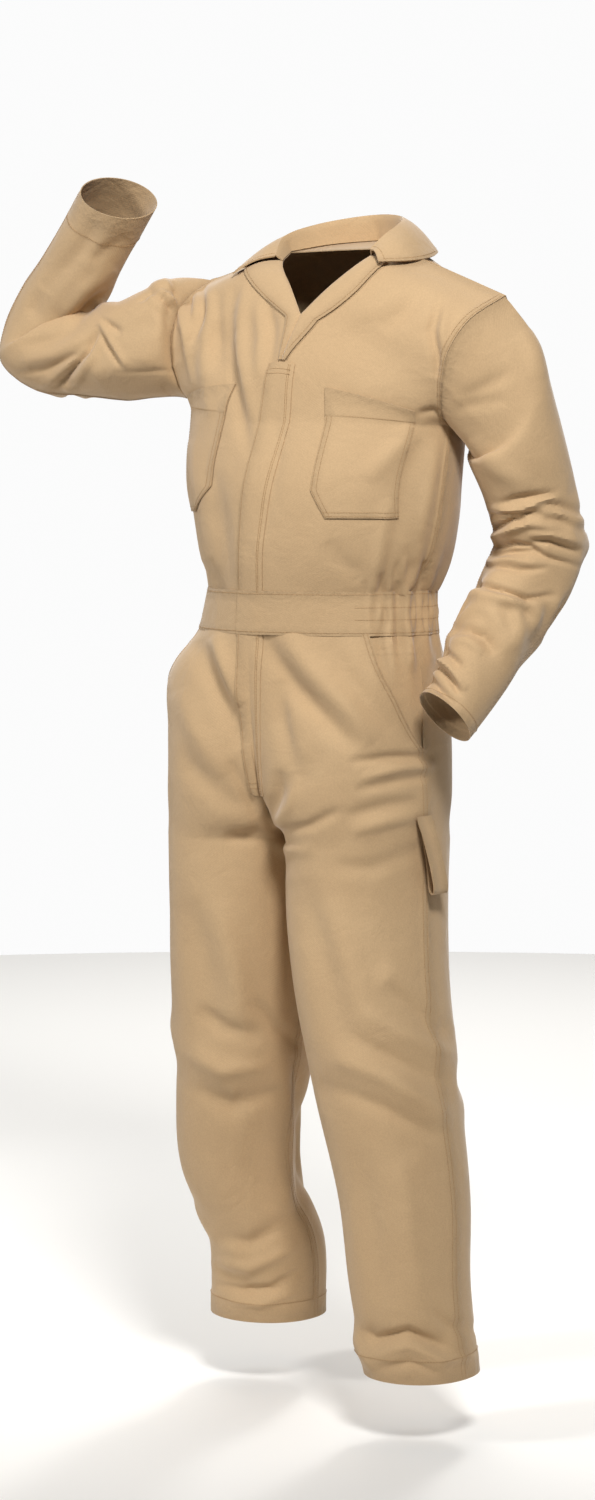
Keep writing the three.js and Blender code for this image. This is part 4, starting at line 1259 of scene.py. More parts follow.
def trouser_panel(side: Side, face: Face) -> Panel:
    """One quarter of the trousers, from the waistband to the hem.

    Args:
        side: Left or right.
        face: Front or back.

    Returns:
        The panel.
    """
    away, sign = face.value, side.value
    rows = [quarter_row(WAIST_LOW, side, face)]
    for at, z, front, back, left, right, leave, arrive in SEAT:
        edge = front if face is Face.FRONT else back
        outer = left if side is Side.LEFT else right
        pull = (sign * leave[0], away * leave[1], 0)
        rows.append(Row(at, (*edge, z), pull, (0, away * arrive, 0), (*outer, z)))
    for at, z, x, y, wide, deep in LEGS[side]:
        pull = (0, away * HALF * deep, 0)
        rows.append(Row(at, (x - sign * wide, y, z), pull, pull, (x + sign * wide, y, z)))
    return Panel(rows, (CROTCH_AT,), away * sign)


class SleeveTube:
    """A sleeve as a function of how far round it, from the shoulder, and how far down it a point lies."""

    def __init__(self, side: Side, front: Panel, back: Panel):
        """Keeps the rings and the two panels that hold the armhole.

        Args:
            side: Left or right.
            front: That side's front panel.
            back: Its back panel.
        """
        self.side = side
        self.front, self.back = front, back
        self.rings = SLEEVES[side]
        self.turn = math.radians(SLEEVE_TURN[side])
        self.facing = side.value

    def armhole(self, u: np.ndarray) -> np.ndarray:
        """Points of the armhole seam.

        Args:
            u: How far round each point is, from the shoulder.

        Returns:
            The points.
        """
        half = np.where(u <= 0.5, u, 1 - u)
        t = np.interp(half, [0, 0.25, 0.5], [1, NECK_AT, ARMPIT_AT])
        ones = np.ones_like(u)
        return np.where((u <= 0.5)[..., None], self.front(ones, t), self.back(ones, t))

    def __call__(self, u: np.ndarray, t: np.ndarray) -> np.ndarray:
        """Points of the sleeve before any fold.

        Args:
            u: How far round each point is, from the shoulder.
            t: How far down, from the armhole.

        Returns:
            The points.
        """
        u, t = np.broadcast_arrays(np.asarray(u, float), np.asarray(t, float))
        u = np.mod(u, 1.0) + np.where((u >= 1) & (u < 1 + 1e-9), 1.0, 0.0)
        near, far = (np.array([ring[n] for ring in self.rings], float) for n in (0, 1))
        middles = (near + far) / 2
        angle = 2 * np.pi * u + self.turn * self.side.value
        rings = [self.armhole(u)]
        for k, ring in enumerate(self.rings):
            way = middles[min(len(middles) - 1, k + 1)] - middles[max(0, k - 1)]
            out = (near[k] - far[k]) / 2
            deep = unit(np.cross(way, out)) * ring[2] * self.side.value
            rings.append(middles[k] + np.cos(angle)[..., None] * out + np.sin(angle)[..., None] * deep)
        end = len(rings) - 1
        i = np.clip(np.floor(t * end).astype(int), 0, end - 1)
        k = ((t - np.linspace(0, 1, len(rings))[i]) * end)[..., None]
        stack = np.stack(rings)
        a, b, c, d = (np.take_along_axis(stack, np.clip(i + step, 0, end)[None, ..., None], 0)[0]
                      for step in (-1, 0, 1, 2))
        first = np.where((i == 0)[..., None], c - b, (c - a) / 2)
        last = np.where((i == end - 1)[..., None], c - b, (d - b) / 2)
        k2, k3 = k * k, k ** 3
        return (b * (2 * k3 - 3 * k2 + 1) + first * (k3 - 2 * k2 + k)
                + c * (3 * k2 - 2 * k3) + last * (k3 - k2))


def ruled(places: Sequence[tuple]) -> np.ndarray:
    """Places from 0 to 1, each stretch with its own number of cells.

    Args:
        places: Where each stretch starts, and its cells.

    Returns:
        The places.
    """
    found = []
    for (start, cells), (end, _) in zip(places, places[1:]):
        found += list(start + (end - start) * np.arange(cells) / cells)
    return np.array(found + [places[-1][0]])


def near_edge(distance: np.ndarray) -> np.ndarray:
    """1 at a seam, falling to 0 at 16 mm from it."""
    return 1 - soft_step(np.abs(distance) / 16)


def ridge(distance: np.ndarray) -> np.ndarray:
    """The height of a felled seam at a distance from its edge."""
    return RIDGE * (1 - soft_step((distance - RIDGE_WIDE) / 1.6))


class Suit:
    """The whole suit: surfaces that its parts share."""

    def __init__(self, cloth: bpy.types.Material, sewing: StitchTree):
        """Makes the panels' surfaces and the sleeves.

        Args:
            cloth: The cloth's material.
            sewing: Sews the stitches.
        """
        self.cloth = cloth
        self.sewing = sewing
        self.bodice, self.trousers, self.sleeves = {}, {}, {}
        for side in Side:
            for face in Face:
                panel = bodice_panel(side, face)
                self.bodice[(face, side)] = Drape(panel, panel.facing, Area.BODICE)
                leg = trouser_panel(side, face)
                self.trousers[(face, side)] = Drape(leg, leg.facing, Area.TROUSERS)
            front, back = (self.bodice[(face, side)].surface for face in Face)
            tube = SleeveTube(side, front, back)
            area = Area.LEFT_SLEEVE if side is Side.LEFT else Area.RIGHT_SLEEVE
            self.sleeves[side] = Drape(tube, tube.facing, area)


def line_at(drape: Drape, s: np.ndarray, t: np.ndarray, out: float) -> np.ndarray:
    """A stitch line's points on a drape."""
    return drape.place(s, t, out)[0]


def share(drape: Drape, mm: np.ndarray | float, t: np.ndarray) -> np.ndarray:
    """Millimetres across a drape as a share of each row's length."""
    lengths = np.array([drape.row_length(float(v)) for v in np.atleast_1d(t)])
    return np.asarray(mm) / lengths


@dataclass
class Bodice:
    """The two fronts and the back, with the shoulder, side and armhole seams."""

    suit: Suit
    across: int = 72
    rows: tuple = ((0, 66), (0.5, 70), (1, 0))
    front_flat: tuple = (0.27, 0.52)
    front_area: dict = field(default_factory=lambda: {Side.LEFT: 0.104, Side.RIGHT: 0.109})
    back_flat: tuple = (0.54, 0.585)
    back_area: float = 0.226

    def columns(self, drape: Drape) -> np.ndarray:
        """Places across a panel, closer together by its side seam.

        Args:
            drape: The panel.

        Returns:
            The places, the last one past the seam where the panels lap.
        """
        close = SEAM_STEPS / drape.row_length(0.4)
        middle = np.linspace(0, 1 - close[-1], self.across)[1:-1]
        return np.concatenate([[0], middle, 1 - close[::-1], [1 + LAP / 2]])

    def grid(self, face: Face, side: Side) -> tuple:
        """One quarter of the bodice as a grid.

        Args:
            face: Front or back.
            side: Left or right.

        Returns:
            Its points, directions, facing, seam nearness and places in the flat cut.
        """
        drape = self.suit.bodice[(face, side)]
        s, t = np.meshgrid(self.columns(drape), ruled(self.rows))
        across_mm = drape.row_lengths(t) * (1 - s)
        down_mm = (1 - t) * drape.side_length(0.5)
        height = ridge(across_mm) if face is Face.FRONT else np.where(t > ARMPIT_AT, ridge(across_mm), 0)
        if face is Face.BACK:
            height = np.maximum(height, ridge(down_mm) * soft_step((s - 0.02) / 0.02) * (t > 0.9))
        seam = np.maximum(near_edge(across_mm), near_edge(down_mm))
        points, normals = drape.place(s, t, height)
        plan = np.stack([across_mm * side.value, -down_mm], -1) * MM
        return points, normals, drape.facing, seam, plan

    def build(self) -> None:
        """Builds the three panels and their stitches."""
        for side in Side:
            front = Sheet(f"{side.label}_front", (f"front_{side.label}",),
                          Cut(self.front_flat, self.front_area[side]))
            front.add(*self.grid(Face.FRONT, side))
            front.build(self.suit.cloth)
        back = Sheet("back_bodice", ("back",), Cut(self.back_flat, self.back_area))
        halves = [self.grid(Face.BACK, side) for side in Side]
        for part in (0, 1):
            middle = (halves[0][part][:, 0] + halves[1][part][:, 0]) / 2
            for half in halves:
                half[part][:, 0] = middle
        for half in halves:
            back.add(*half)
        back.build(self.suit.cloth)
        self.suit.sewing.sew("stitches_bodice", self.stitches())

    def stitches(self) -> list:
        """Double rows beside the side seams, armholes and shoulders.

        Returns:
            The rows.
        """
        whole = np.linspace(0.01, 0.99, 200)
        high = np.linspace(ARMPIT_AT + 0.01, 0.99, 100)
        shoulder = np.linspace(0.03, 0.97, 80)
        lines = []
        for side in Side:
            front, back = (self.suit.bodice[(face, side)] for face in Face)
            for mm in SEAM_ROWS:
                below = np.full(80, 1 - mm / back.side_length(0.5))
                lines += [line_at(front, 1 - share(front, mm, whole), whole, ON_SEAM),
                          line_at(back, 1 - share(back, mm, high), high, ON_SEAM),
                          line_at(back, shoulder, below, ON_SEAM)]
        return lines


@dataclass
class Trousers:
    """The four trouser panels, the facings behind the slant pockets, and their seams."""

    suit: Suit
    across: int = 66
    rows: tuple = ((0, 84), (0.34, 60), (0.66, 44), (0.9, 24), (0.972, 3), (0.978, 8), (1, 0))
    hem_mm: float = 25
    flats: dict = field(default_factory=lambda: {
        Face.FRONT: ((0.34, 1.02), 0.25), Face.BACK: ((0.34, 1.02), 0.26)})
    facing_flat: tuple = (0.075, 0.19)
    facing_area: float = 0.0085
    tuck: float = 0.04

    def mouth(self, t: np.ndarray) -> np.ndarray:
        """How far across the front the slant pocket's mouth lies."""
        end = MOUTH[-1][0]
        return np.where(t >= end, 1.0, column(MOUTH)(np.clip(t, 0, end))[..., 0])

    def grid(self, face: Face, side: Side) -> tuple:
        """One panel of the trousers as a grid.

        Args:
            face: Front or back.
            side: Left or right.

        Returns:
            Its points, directions, facing, seam nearness and places in the flat cut.
        """
        drape = self.suit.trousers[(face, side)]
        close = SEAM_STEPS / drape.row_length(0.5)
        middle = np.linspace(close[-1], 1 - close[-1], self.across)[1:-1]
        s = np.concatenate([[-LAP / 2], close, middle, 1 - close[::-1], [1 + LAP / 2]])
        s, t = np.meshgrid(s, ruled(self.rows))
        lengths = drape.row_lengths(t)
        limit = self.mouth(t) if face is Face.FRONT else np.ones_like(t)
        from_side = (1 - s) * lengths * limit
        from_inner = s * lengths
        from_hem = (1 - t) * drape.side_length(0.5)
        if face is Face.FRONT:
            height = ridge(from_side)
        else:
            lapped = (t > CROTCH_AT) | (side is Side.LEFT)
            height = np.where(lapped, ridge(from_inner), 0)
        height = np.maximum(height, HEM_RISE * (1 - soft_step((from_hem - self.hem_mm) / 1.5)))
        seam = np.maximum(near_edge(from_side), near_edge(from_inner))
        seam = np.maximum(seam, near_edge(np.maximum(from_hem - 3, 0) / 1.6))
        points, normals = drape.place(s * limit, t, height)
        plan = np.stack([from_side * side.value, from_hem], -1) * MM
        return points, normals, drape.facing, seam, plan

    def build(self) -> None:
        """Builds the panels, the facings and the stitches."""
        for side in Side:
            for face in Face:
                flat, area = self.flats[face]
                leg = Sheet(f"{side.label}_trouser_{face.label}", (f"trouser_{face.label}_{side.label}",),
                            Cut(flat, area))
                leg.add(*self.grid(face, side))
                leg.build(self.suit.cloth)
            self.facing(side)
        self.suit.sewing.sew("stitches_trousers", self.stitches())

    def facing(self, side: Side) -> None:
        """Builds the facing that shows in a slant pocket's mouth and is tucked under its edge.

        Args:
            side: Left or right.
        """
        drape = self.suit.trousers[(Face.FRONT, side)]
        t = np.linspace(0.002, MOUTH[-1][0] + 0.02, 40)[:, None]
        k = np.linspace(0, 1, 16)[None, :]
        low = self.mouth(t) - self.tuck
        s = low + (1.003 - low) * k
        t = np.broadcast_to(t, s.shape)
        crossing = np.exp(-(((t - 0.035) * drape.side_length(0.5) / 1.5) ** 2))
        open_by = s - self.mouth(t)
        depth = 2.6 * soft_step((open_by - 0.03) / 0.12) - 2.8
        points, normals = drape.place(s, t, depth + 0.5 * crossing)
        plan = np.stack([s * 0.2, t], -1)
        piece = Sheet(f"{side.label}_pocket_facing", (f"pocket_facing_{side.label}",),
                      Cut(self.facing_flat, self.facing_area))
        piece.add(points, normals, drape.facing, crossing, plan)
        piece.build(self.suit.cloth)

    def stitches(self) -> list:
        """Rows beside the side seams, inseams, seat seam, pocket mouths and hems.

        Returns:
            The rows.
        """
        down = np.linspace(0.004, 0.996, 420)
        legs = np.linspace(CROTCH_AT + 0.01, 0.996, 300)
        seat = np.linspace(0.004, CROTCH_AT - 0.01, 120)
        around = np.linspace(0.01, 0.99, 120)
        lines = []
        for side in Side:
            front, back = (self.suit.trousers[(face, side)] for face in Face)
            for mm in SEAM_ROWS:
                lines.append(line_at(front, self.mouth(down) - share(front, mm, down), down, ON_SEAM))
                lines.append(line_at(back, share(back, mm, legs), legs, ON_SEAM))
                if side is Side.LEFT:
                    lines.append(line_at(back, share(back, mm, seat), seat, ON_SEAM))
            hem = 1 - self.hem_mm / front.side_length(0.5)
            lines += [line_at(drape, around, np.full(120, hem), ON_HEM) for drape in (front, back)]
        return lines


@dataclass
class Waistband:
    """The band, flat in front and drawn in by its elastic round the back, lapped at the centre front."""

    suit: Suit
    rise: float = 1.3
    lap_rise: float = 2.0
    lap_from: float = 3.9
    lap_mm: float = 18
    over: float = 0.08
    wide_mm: float = 48
    elastic: tuple = (0.62, 3.4)
    flat: tuple = (0.98, 0.047)

    def surface(self, turn: np.ndarray, down: np.ndarray) -> np.ndarray:
        """Points of the band between the bodice's and the trousers' waist rows.

        Args:
            turn: From the right front, 0, round the back to the left front, 4.
            down: From the band's upper seam, 0, to its lower one, 1.

        Returns:
            The points.
        """
        quarters = ((Face.FRONT, Side.RIGHT, 0, 1), (Face.BACK, Side.RIGHT, 2, -1),
                    (Face.BACK, Side.LEFT, -2, 1), (Face.FRONT, Side.LEFT, 4, -1))
        points = np.zeros(turn.shape + (3,))
        quarter = np.clip(np.floor(turn), 0, 3)
        for n, (face, side, shift, sign) in enumerate(quarters):
            s = shift + sign * turn
            top = self.suit.bodice[(face, side)].surface(s, np.zeros_like(s))
            low = self.suit.trousers[(face, side)].surface(s, np.zeros_like(s))
            points = np.where((quarter == n)[..., None], top + (low - top) * down[..., None], points)
        return points

    def off(self, turn: np.ndarray) -> np.ndarray:
        """How far the band stands out, more where its end laps over."""
        return self.rise + self.lap_rise * soft_step((turn - self.lap_from) / 0.08)

    def build(self) -> None:
        """Builds the band with its lapped end and its stitches."""
        long = self.suit.bodice[(Face.FRONT, Side.LEFT)].row_length(0.0)
        lap = 4 + self.lap_mm / long
        turn = np.concatenate([np.linspace(0, self.lap_from, 360), np.linspace(self.lap_from, lap, 16)[1:]])
        turn, down = np.meshgrid(turn, np.linspace(-self.over, 1 + self.over, 16))
        points, normals = self.placed(turn, down, self.off(turn))
        seam = near_edge(np.minimum(down + self.over, 1 + self.over - down) * self.wide_mm)
        plan = np.stack([turn * long, down * self.wide_mm], -1) * MM
        band = Sheet("waistband_cloth", ("waistband",), Cut(self.flat, None, Held.GATHERED))
        band.add(points, normals, 1, seam, plan)
        band.build(self.suit.cloth)
        around = np.linspace(0.02, lap - 0.012, 420)
        drawn = np.clip(around, *self.elastic)
        lines = [self.placed(turn, np.full(420, at), self.off(turn) + ON_CLOTH)[0]
                 for at, turn in ((0.0, around), (0.34, drawn), (0.66, drawn), (1.0, around))]
        self.suit.sewing.sew("stitches_waistband", lines)

    def placed(self, turn: np.ndarray, down: np.ndarray, out: np.ndarray) -> tuple:
        """Points on the band, which past its left end goes on over the right front.

        Args:
            turn: How far round each point is.
            down: How far down.
            out: How far out of the suit.

        Returns:
            The points and the outward directions there.
        """
        wrapped = np.where(turn > 4, turn - 4, turn)
        base = self.surface(wrapped, down)
        ahead = self.surface(np.minimum(wrapped + 0.01, 4), down)
        behind = self.surface(np.maximum(wrapped - 0.01, 0), down)
        across = np.where((wrapped > 3.99)[..., None], base - behind, ahead - behind)
        rise = self.surface(wrapped, down + 0.1) - self.surface(wrapped, down - 0.1)
        direction = unit(np.cross(across, rise))
        height = out + GATHERS.relief(base)
        return push_folds(base, ALL_FOLDS) + direction * height[..., None], direction


@dataclass
class Sleeve:
    """A set-in sleeve with a stitched cuff hem."""

    suit: Suit
    side: Side
    around: int = 144
    rows: tuple = ((0, 14), (0.06, 150), (0.93, 14), (1, 0))
    hem_mm: float = 26
    seam_rise: float = 0.5
    tuck: float = 0.9
    flats: dict = field(default_factory=lambda: {
        Side.LEFT: ((0.47, 0.62), 0.18), Side.RIGHT: ((0.47, 0.61), 0.188)})

    def build(self) -> None:
        """Builds the tube and its stitches."""
        drape = self.suit.sleeves[self.side]
        s, t = np.meshgrid(np.linspace(0, 1, self.around + 1), ruled(self.rows))
        long = drape.side_length(0.25)
        from_hem = (1 - t) * long
        under = np.abs(s - 0.5) * drape.row_length(0.6)
        height = HEM_RISE * (1 - soft_step((from_hem - self.hem_mm) / 2))
        height = np.maximum(height, self.seam_rise * np.exp(-((under / 4) ** 2)))
        height = height - self.tuck * (1 - soft_step(t / 0.025))
        seam = np.maximum(near_edge(np.maximum(from_hem - 3, 0) / 1.6), near_edge(t * long))
        seam = np.maximum(seam, near_edge(under))
        points, normals = drape.place(s, t, height)
        plan = np.stack([s * 0.4, t * 0.56], -1)
        flat, area = self.flats[self.side]
        tube = Sheet(f"{self.side.label}_sleeve", (f"sleeve_{self.side.label}",), Cut(flat, area))
        tube.add(points, normals, drape.facing, seam, plan, tube=True)
        tube.build(self.suit.cloth)
        self.suit.sewing.sew(f"stitches_{self.side.label}_sleeve", self.stitches(drape))

    def stitches(self, drape: Drape) -> list:
        """The cuff hem's row and the underarm's double row.

        Args:
            drape: The sleeve.

        Returns:
            The rows.
        """
        ring = np.linspace(0.001, 0.999, 160)
        hem = 1 - self.hem_mm / drape.side_length(0.25)
        down = np.linspace(0.03, 0.99, 200)
        under = [line_at(drape, 0.5 + share(drape, mm, down), down, ON_CLOTH + 0.45) for mm in (-2.6, 2.6)]
        return [line_at(drape, ring, np.full(160, hem), ON_HEM), *under]


@dataclass
class FrontStrip:
    """A strip that covers a fastening at the centre front: the placket above, the fly below."""

    suit: Suit
    name: str
    node: str
    panels: dict
    half: float
    start: float
    end: float
    flat: tuple
    free_rise: float = 2.3
    sewn_drop: float = 1.2
    sewn_wide: float = 9

    def middle(self, mm: np.ndarray, t: np.ndarray, out: np.ndarray) -> tuple:
        """Points over the centre line, blended from one front to the other.

        Args:
            mm: Millimetres from the centre line; negative ones lie on the right front.
            t: How far along the fronts.
            out: How far out of them.

        Returns:
            The points and the outward directions there.
        """
        left, right = self.panels[Side.LEFT], self.panels[Side.RIGHT]
        aside = np.abs(mm) / left.row_lengths(t)
        a, n = left.place(aside, t, out)
        b, m = right.place(aside, t, out)
        base, way = left.place(np.zeros_like(mm), t, out)
        other, turned = right.place(np.zeros_like(mm), t, out)
        inside = (np.abs(mm) < 4)[..., None]
        on_right = (mm < 0)[..., None]
        weight = soft_step(mm / 8 + 0.5)[..., None]
        centre = (base + other) / 2 + np.where(on_right, b - other, a - base)
        points = np.where(inside, centre, np.where(on_right, b, a))
        return points, np.where(inside, unit(way + turned), unit(n * weight + m * (1 - weight)))

    def off(self, mm: np.ndarray) -> np.ndarray:
        """How far the strip stands out: its free edge is raised, its sewn edge let down."""
        inside = mm - self.half + self.sewn_wide
        return self.free_rise - self.sewn_drop * soft_step(inside / self.sewn_wide)

    def build(self) -> None:
        """Builds the strip and its stitches: three rows along it and a bar across its lower end."""
        mm, t = np.meshgrid(np.linspace(-self.half, self.half, 25), np.linspace(self.start, self.end, 90))
        points, normals = self.middle(mm, t, self.off(mm))
        plan = np.stack([mm, t * 400], -1) * MM
        strip = Sheet(self.name, (self.node,), Cut(self.flat))
        strip.add(points, normals, self.panels[Side.LEFT].facing, near_edge(self.half + mm), plan)
        strip.build(self.suit.cloth)
        lines = []
        down = np.linspace(self.start + 0.004, self.end - 0.004, 200)[:, None]
        for place in (-self.half + 2, self.half - 7, self.half - 5):
            at = np.full_like(down, place)
            lines.append(self.middle(at, down, self.off(at) + ON_CLOTH)[0][:, 0])
        across = np.linspace(-self.half + 3, self.half - 5, 20)[:, None]
        for shift in (0.012, 0.02):
            at = np.full_like(across, self.end - shift)
            lines.append(self.middle(across, at, np.full_like(across, 3.1))[0][:, 0])
        self.suit.sewing.sew("stitches_" + self.node, lines)


@dataclass
class ChestPocket:
    """A patch pocket with a turned hem and clipped lower corners."""

    suit: Suit
    side: Side
    lift: float = 2.2
    hem: float = 0.055
    hem_rise: float = 0.5
    fullness: float = 1.6
    long_mm: float = 430
    flat: tuple = (0.126, 0.145)
    areas: dict = field(default_factory=lambda: {Side.LEFT: 0.0165, Side.RIGHT: 0.0175})

    def place(self, k: np.ndarray, t: np.ndarray, out: np.ndarray) -> tuple:
        """Points on the pocket.

        Args:
            k: The share of the pocket's width at which each point is.
            t: How far along the front.
            out: How far out of it.

        Returns:
            The points and the outward directions there.
        """
        drape = self.suit.bodice[(Face.FRONT, self.side)]
        cut = POCKETS[self.side]
        ends = column(cut, corners=[row[0] for row in cut])(t)
        s = (ends[..., 0] + (ends[..., 1] - ends[..., 0]) * k) / drape.row_lengths(t)
        return drape.place(s, t, out)

    def swell(self, k: np.ndarray, t: np.ndarray) -> np.ndarray:
        """How far the pocket swells, most in its middle.

        Args:
            k: The share of the pocket's width at which each point is.
            t: How far along the front.

        Returns:
            The swelling in millimetres.
        """
        low, high = POCKETS[self.side][0][0], POCKETS[self.side][-1][0]
        up = 0.82 * (t - low) / (high - low)
        return self.fullness * np.sin(np.pi * np.clip(k, 0, 1)) * np.sin(np.pi * up)

    def build(self) -> None:
        """Builds the patch and its stitches."""
        cut = POCKETS[self.side]
        low, high = cut[0][0], cut[-1][0]
        t = ruled(((low, 36), (high - self.hem - 0.004, 4), (high - self.hem, 12), (high, 0)))
        k, t = np.meshgrid(np.linspace(0, 1, 41), t)
        hem = soft_step((t - (high - self.hem - 0.003)) / 0.003)
        points, normals = self.place(k, t, self.lift + self.swell(k, t) + self.hem_rise * hem)
        wide = cut[1][1][1] - cut[1][1][0]
        edge = np.minimum(np.minimum(k, 1 - k) * wide, np.minimum(t - low, high - t) * self.long_mm)
        plan = np.stack([k * 0.12, t * self.long_mm * MM], -1)
        patch = Sheet(f"{self.side.label}_chest_pocket", (f"pocket_chest_{self.side.label}",),
                      Cut(self.flat, self.areas[self.side]))
        facing = self.suit.bodice[(Face.FRONT, self.side)].facing
        patch.add(points, normals, facing, near_edge(edge), plan)
        patch.build(self.suit.cloth)
        lines = []
        top = self.lift + ON_CLOTH
        down = np.linspace(low + 0.006, high - 0.004, 80)[:, None]
        across = np.linspace(0.02, 0.98, 60)[:, None]
        for at in (0.016, 1 - 0.016, 0.066, 1 - 0.066):
            side = np.full_like(down, at)
            lines.append(self.place(side, down, top + self.swell(side, down))[0][:, 0])
        for at, full in ((low + 0.005, 0.05), (low + 0.018, 0.2), (high - self.hem, self.fullness)):
            level = np.full_like(across, at)
            lines.append(self.place(across, level, top + full * np.sin(np.pi * across))[0][:, 0])
        self.suit.sewing.sew(f"stitches_{self.side.label}_pocket", lines)


@dataclass
class Lapel:
    """The front's upper edge turned back on its roll line."""

    suit: Suit
    side: Side
    roll: float = 1.2
    roll_wide: float = 3
    flat: tuple = (0.05, 0.15)
    area: float = 0.0052

    def place(self, k: np.ndarray, t: np.ndarray) -> tuple:
        """Points on the lapel.

        Args:
            k: From the roll line, 0, to the lapel's edge, 1.
            t: How far along the front.

        Returns:
            The points and the outward directions there.
        """
        drape = self.suit.bodice[(Face.FRONT, self.side)]
        across = column(LAPELS[self.side])(t)[..., 0] * k
        turned = soft_step(across / self.roll_wide)
        out = 0.5 + 2.0 * turned + 1.6 * np.sin(np.pi * k) + 0.4 * k
        return drape.place((across - self.roll * (1 - turned)) / drape.row_lengths(t), t, out)

    def build(self) -> None:
        """Builds the turned cloth and its row of stitches."""
        widths = column(LAPELS[self.side])
        k, t = np.meshgrid(np.linspace(0, 1, 22), np.linspace(BREAK_AT + 0.004, GORGE_AT - 0.004, 60))
        points, normals = self.place(k, t)
        edge = (1 - k) * widths(t)[..., 0]
        lapel = Sheet(f"{self.side.label}_lapel", (f"lapel_{self.side.label}",), Cut(self.flat, self.area))
        facing = self.suit.bodice[(Face.FRONT, self.side)].facing
        lapel.add(points, normals, facing, near_edge(edge), np.stack([k * 0.05, t * 0.4], -1))
        lapel.build(self.suit.cloth)
        down = np.linspace(BREAK_AT + 0.03, GORGE_AT - 0.01, 70)[:, None]
        points, normals = self.place(1 - 4 / np.maximum(widths(down)[..., 0], 6), down)
        self.suit.sewing.sew(f"stitches_{self.side.label}_lapel", [(points + normals * ON_CLOTH)[:, 0]])


@dataclass
class Collar:
    """A one-piece shirt collar: a stand that rises from the neck seam and a leaf that falls outside it."""

    suit: Suit
    puff: float = 5
    wall: float = 2.0
    deep_mm: float = 95
    front_points: int = 16
    back_points: int = 24
    flat: tuple = (0.43, 0.09)
    area: float = 0.033

    def neck(self) -> np.ndarray:
        """The neck seam's points.

        Returns:
            The points, from the right front end round the back to the left one.
        """
        fronts = np.linspace(GORGE_AT, 1, self.front_points)
        backs = np.linspace(NECK_AT, 1, self.back_points)
        edges = {(face, side): self.suit.bodice[(face, side)].surface(np.zeros_like(t), t)
                 for face, t in ((Face.FRONT, fronts), (Face.BACK, backs)) for side in Side}
        return np.concatenate([
            edges[(Face.FRONT, Side.RIGHT)][:-1], edges[(Face.BACK, Side.RIGHT)][::-1],
            edges[(Face.BACK, Side.LEFT)][1:], edges[(Face.FRONT, Side.LEFT)][::-1][1:]])

    def places(self) -> np.ndarray:
        """Each seam point's place from 0 to 1, the way that the solids count them.

        Returns:
            The places: the seam has 14 steps, two on each front and five on each half of the back.
        """
        middle = (GORGE_AT + 1) / 2
        front = np.interp(np.linspace(GORGE_AT, 1, self.front_points), [GORGE_AT, middle, 1], [0, 1, 2])
        back = 2 + np.interp(np.linspace(1, NECK_AT, self.back_points), [NECK_AT, 1], [5, 0])
        half = np.concatenate([front[:-1], back])
        return np.concatenate([half, 14 - half[::-1][1:]]) / 14

    def build(self) -> None:
        """Builds the collar and the stitches round its leaf."""
        at = self.places()
        fold, edge = column(COLLAR, 1)(at), column(COLLAR, 2)(at)
        lower = self.neck() + np.array([0, 0, 1.6])
        rows = [lower + (fold - lower) * k for k in (0, 0.25, 0.5, 0.72, 0.88)]
        flat_out = unit((edge - fold) * np.array([1, 1, 0]))
        for k in np.linspace(0, 1, 18):
            rise = np.array([0, 0, self.puff * math.sin(math.pi * k)])
            rows.append(fold + (edge - fold) * k + flat_out * 2 * min(1, 4 * k) + rise)
        points = np.array(rows)
        points[5] = (points[4] + points[6]) / 2 + np.array([0, 0, 2.0])
        normals = unit(np.cross(np.gradient(points, axis=1), np.gradient(points, axis=0)))
        shape = points.shape[:2]
        from_edge = np.linspace(1, 0, shape[0])[:, None] * self.deep_mm * np.ones(shape)
        plan = np.stack([np.broadcast_to(at, shape) * 0.43, from_edge * MM], -1)
        cut = Cut(self.flat, self.area, Held.FOLDED)
        collar = Sheet("collar_cloth", ("collar",), cut, wall=self.wall)
        collar.add(points, normals, 1, near_edge(from_edge), plan)
        collar.build(self.suit.cloth)
        raised = points + normals * (self.wall / 2 + STITCH_LIFT)
        inset = raised[-1] * 0.9 + raised[-2] * 0.1
        inset = inset + unit(raised[-3] - raised[-1]) * 4
        self.suit.sewing.sew("stitches_collar", [inset[2:-2], raised[6:-1, 2], raised[6:-1, -3]])


@dataclass
class StrapLoop:
    """A folded strap that hangs from the left side seam."""

    suit: Suit
    rows: int = 70
    columns: int = 9
    flat: tuple = (0.03, 0.19)

    def build(self) -> None:
        """Builds the strap as one bent sheet, with a row of stitches by each edge."""
        drape = self.suit.trousers[(Face.FRONT, Side.LEFT)]
        top, under = drape.surface(np.array([0.965, 0.99]), np.array([LOOP_TOP, LOOP_TOP + 0.004]))
        path = Track(np.linspace(0, 1, len(LOOP_PATH)), LOOP_PATH)(np.linspace(0, 1, self.rows))
        k, along = np.meshgrid(np.linspace(-0.5, 0.5, self.columns), np.linspace(0, 0.2, self.rows))
        down, off, back, drift = path.T[..., None]
        spine = top + (under - top) * back + np.concatenate([off, 0 * off, -down], 1)
        points = spine[:, None] + np.array([0, 1.0, 0]) * (k * LOOP_WIDE + drift)[..., None]
        normals = unit(np.cross(np.gradient(points, axis=1), np.gradient(points, axis=0)))
        strap = Sheet("strap_loop", ("hammer_loop",), Cut(self.flat, None, Held.FOLDED))
        seam = near_edge((0.5 - np.abs(k)) * LOOP_WIDE)
        strap.add(points, normals, 1, seam, np.stack([k * LOOP_WIDE * MM, along], -1))
        strap.build(self.suit.cloth)
        lift = points + normals * ON_CLOTH
        self.suit.sewing.sew("stitches_loop", [lift[1:-1, 1], lift[1:-1, -2]])


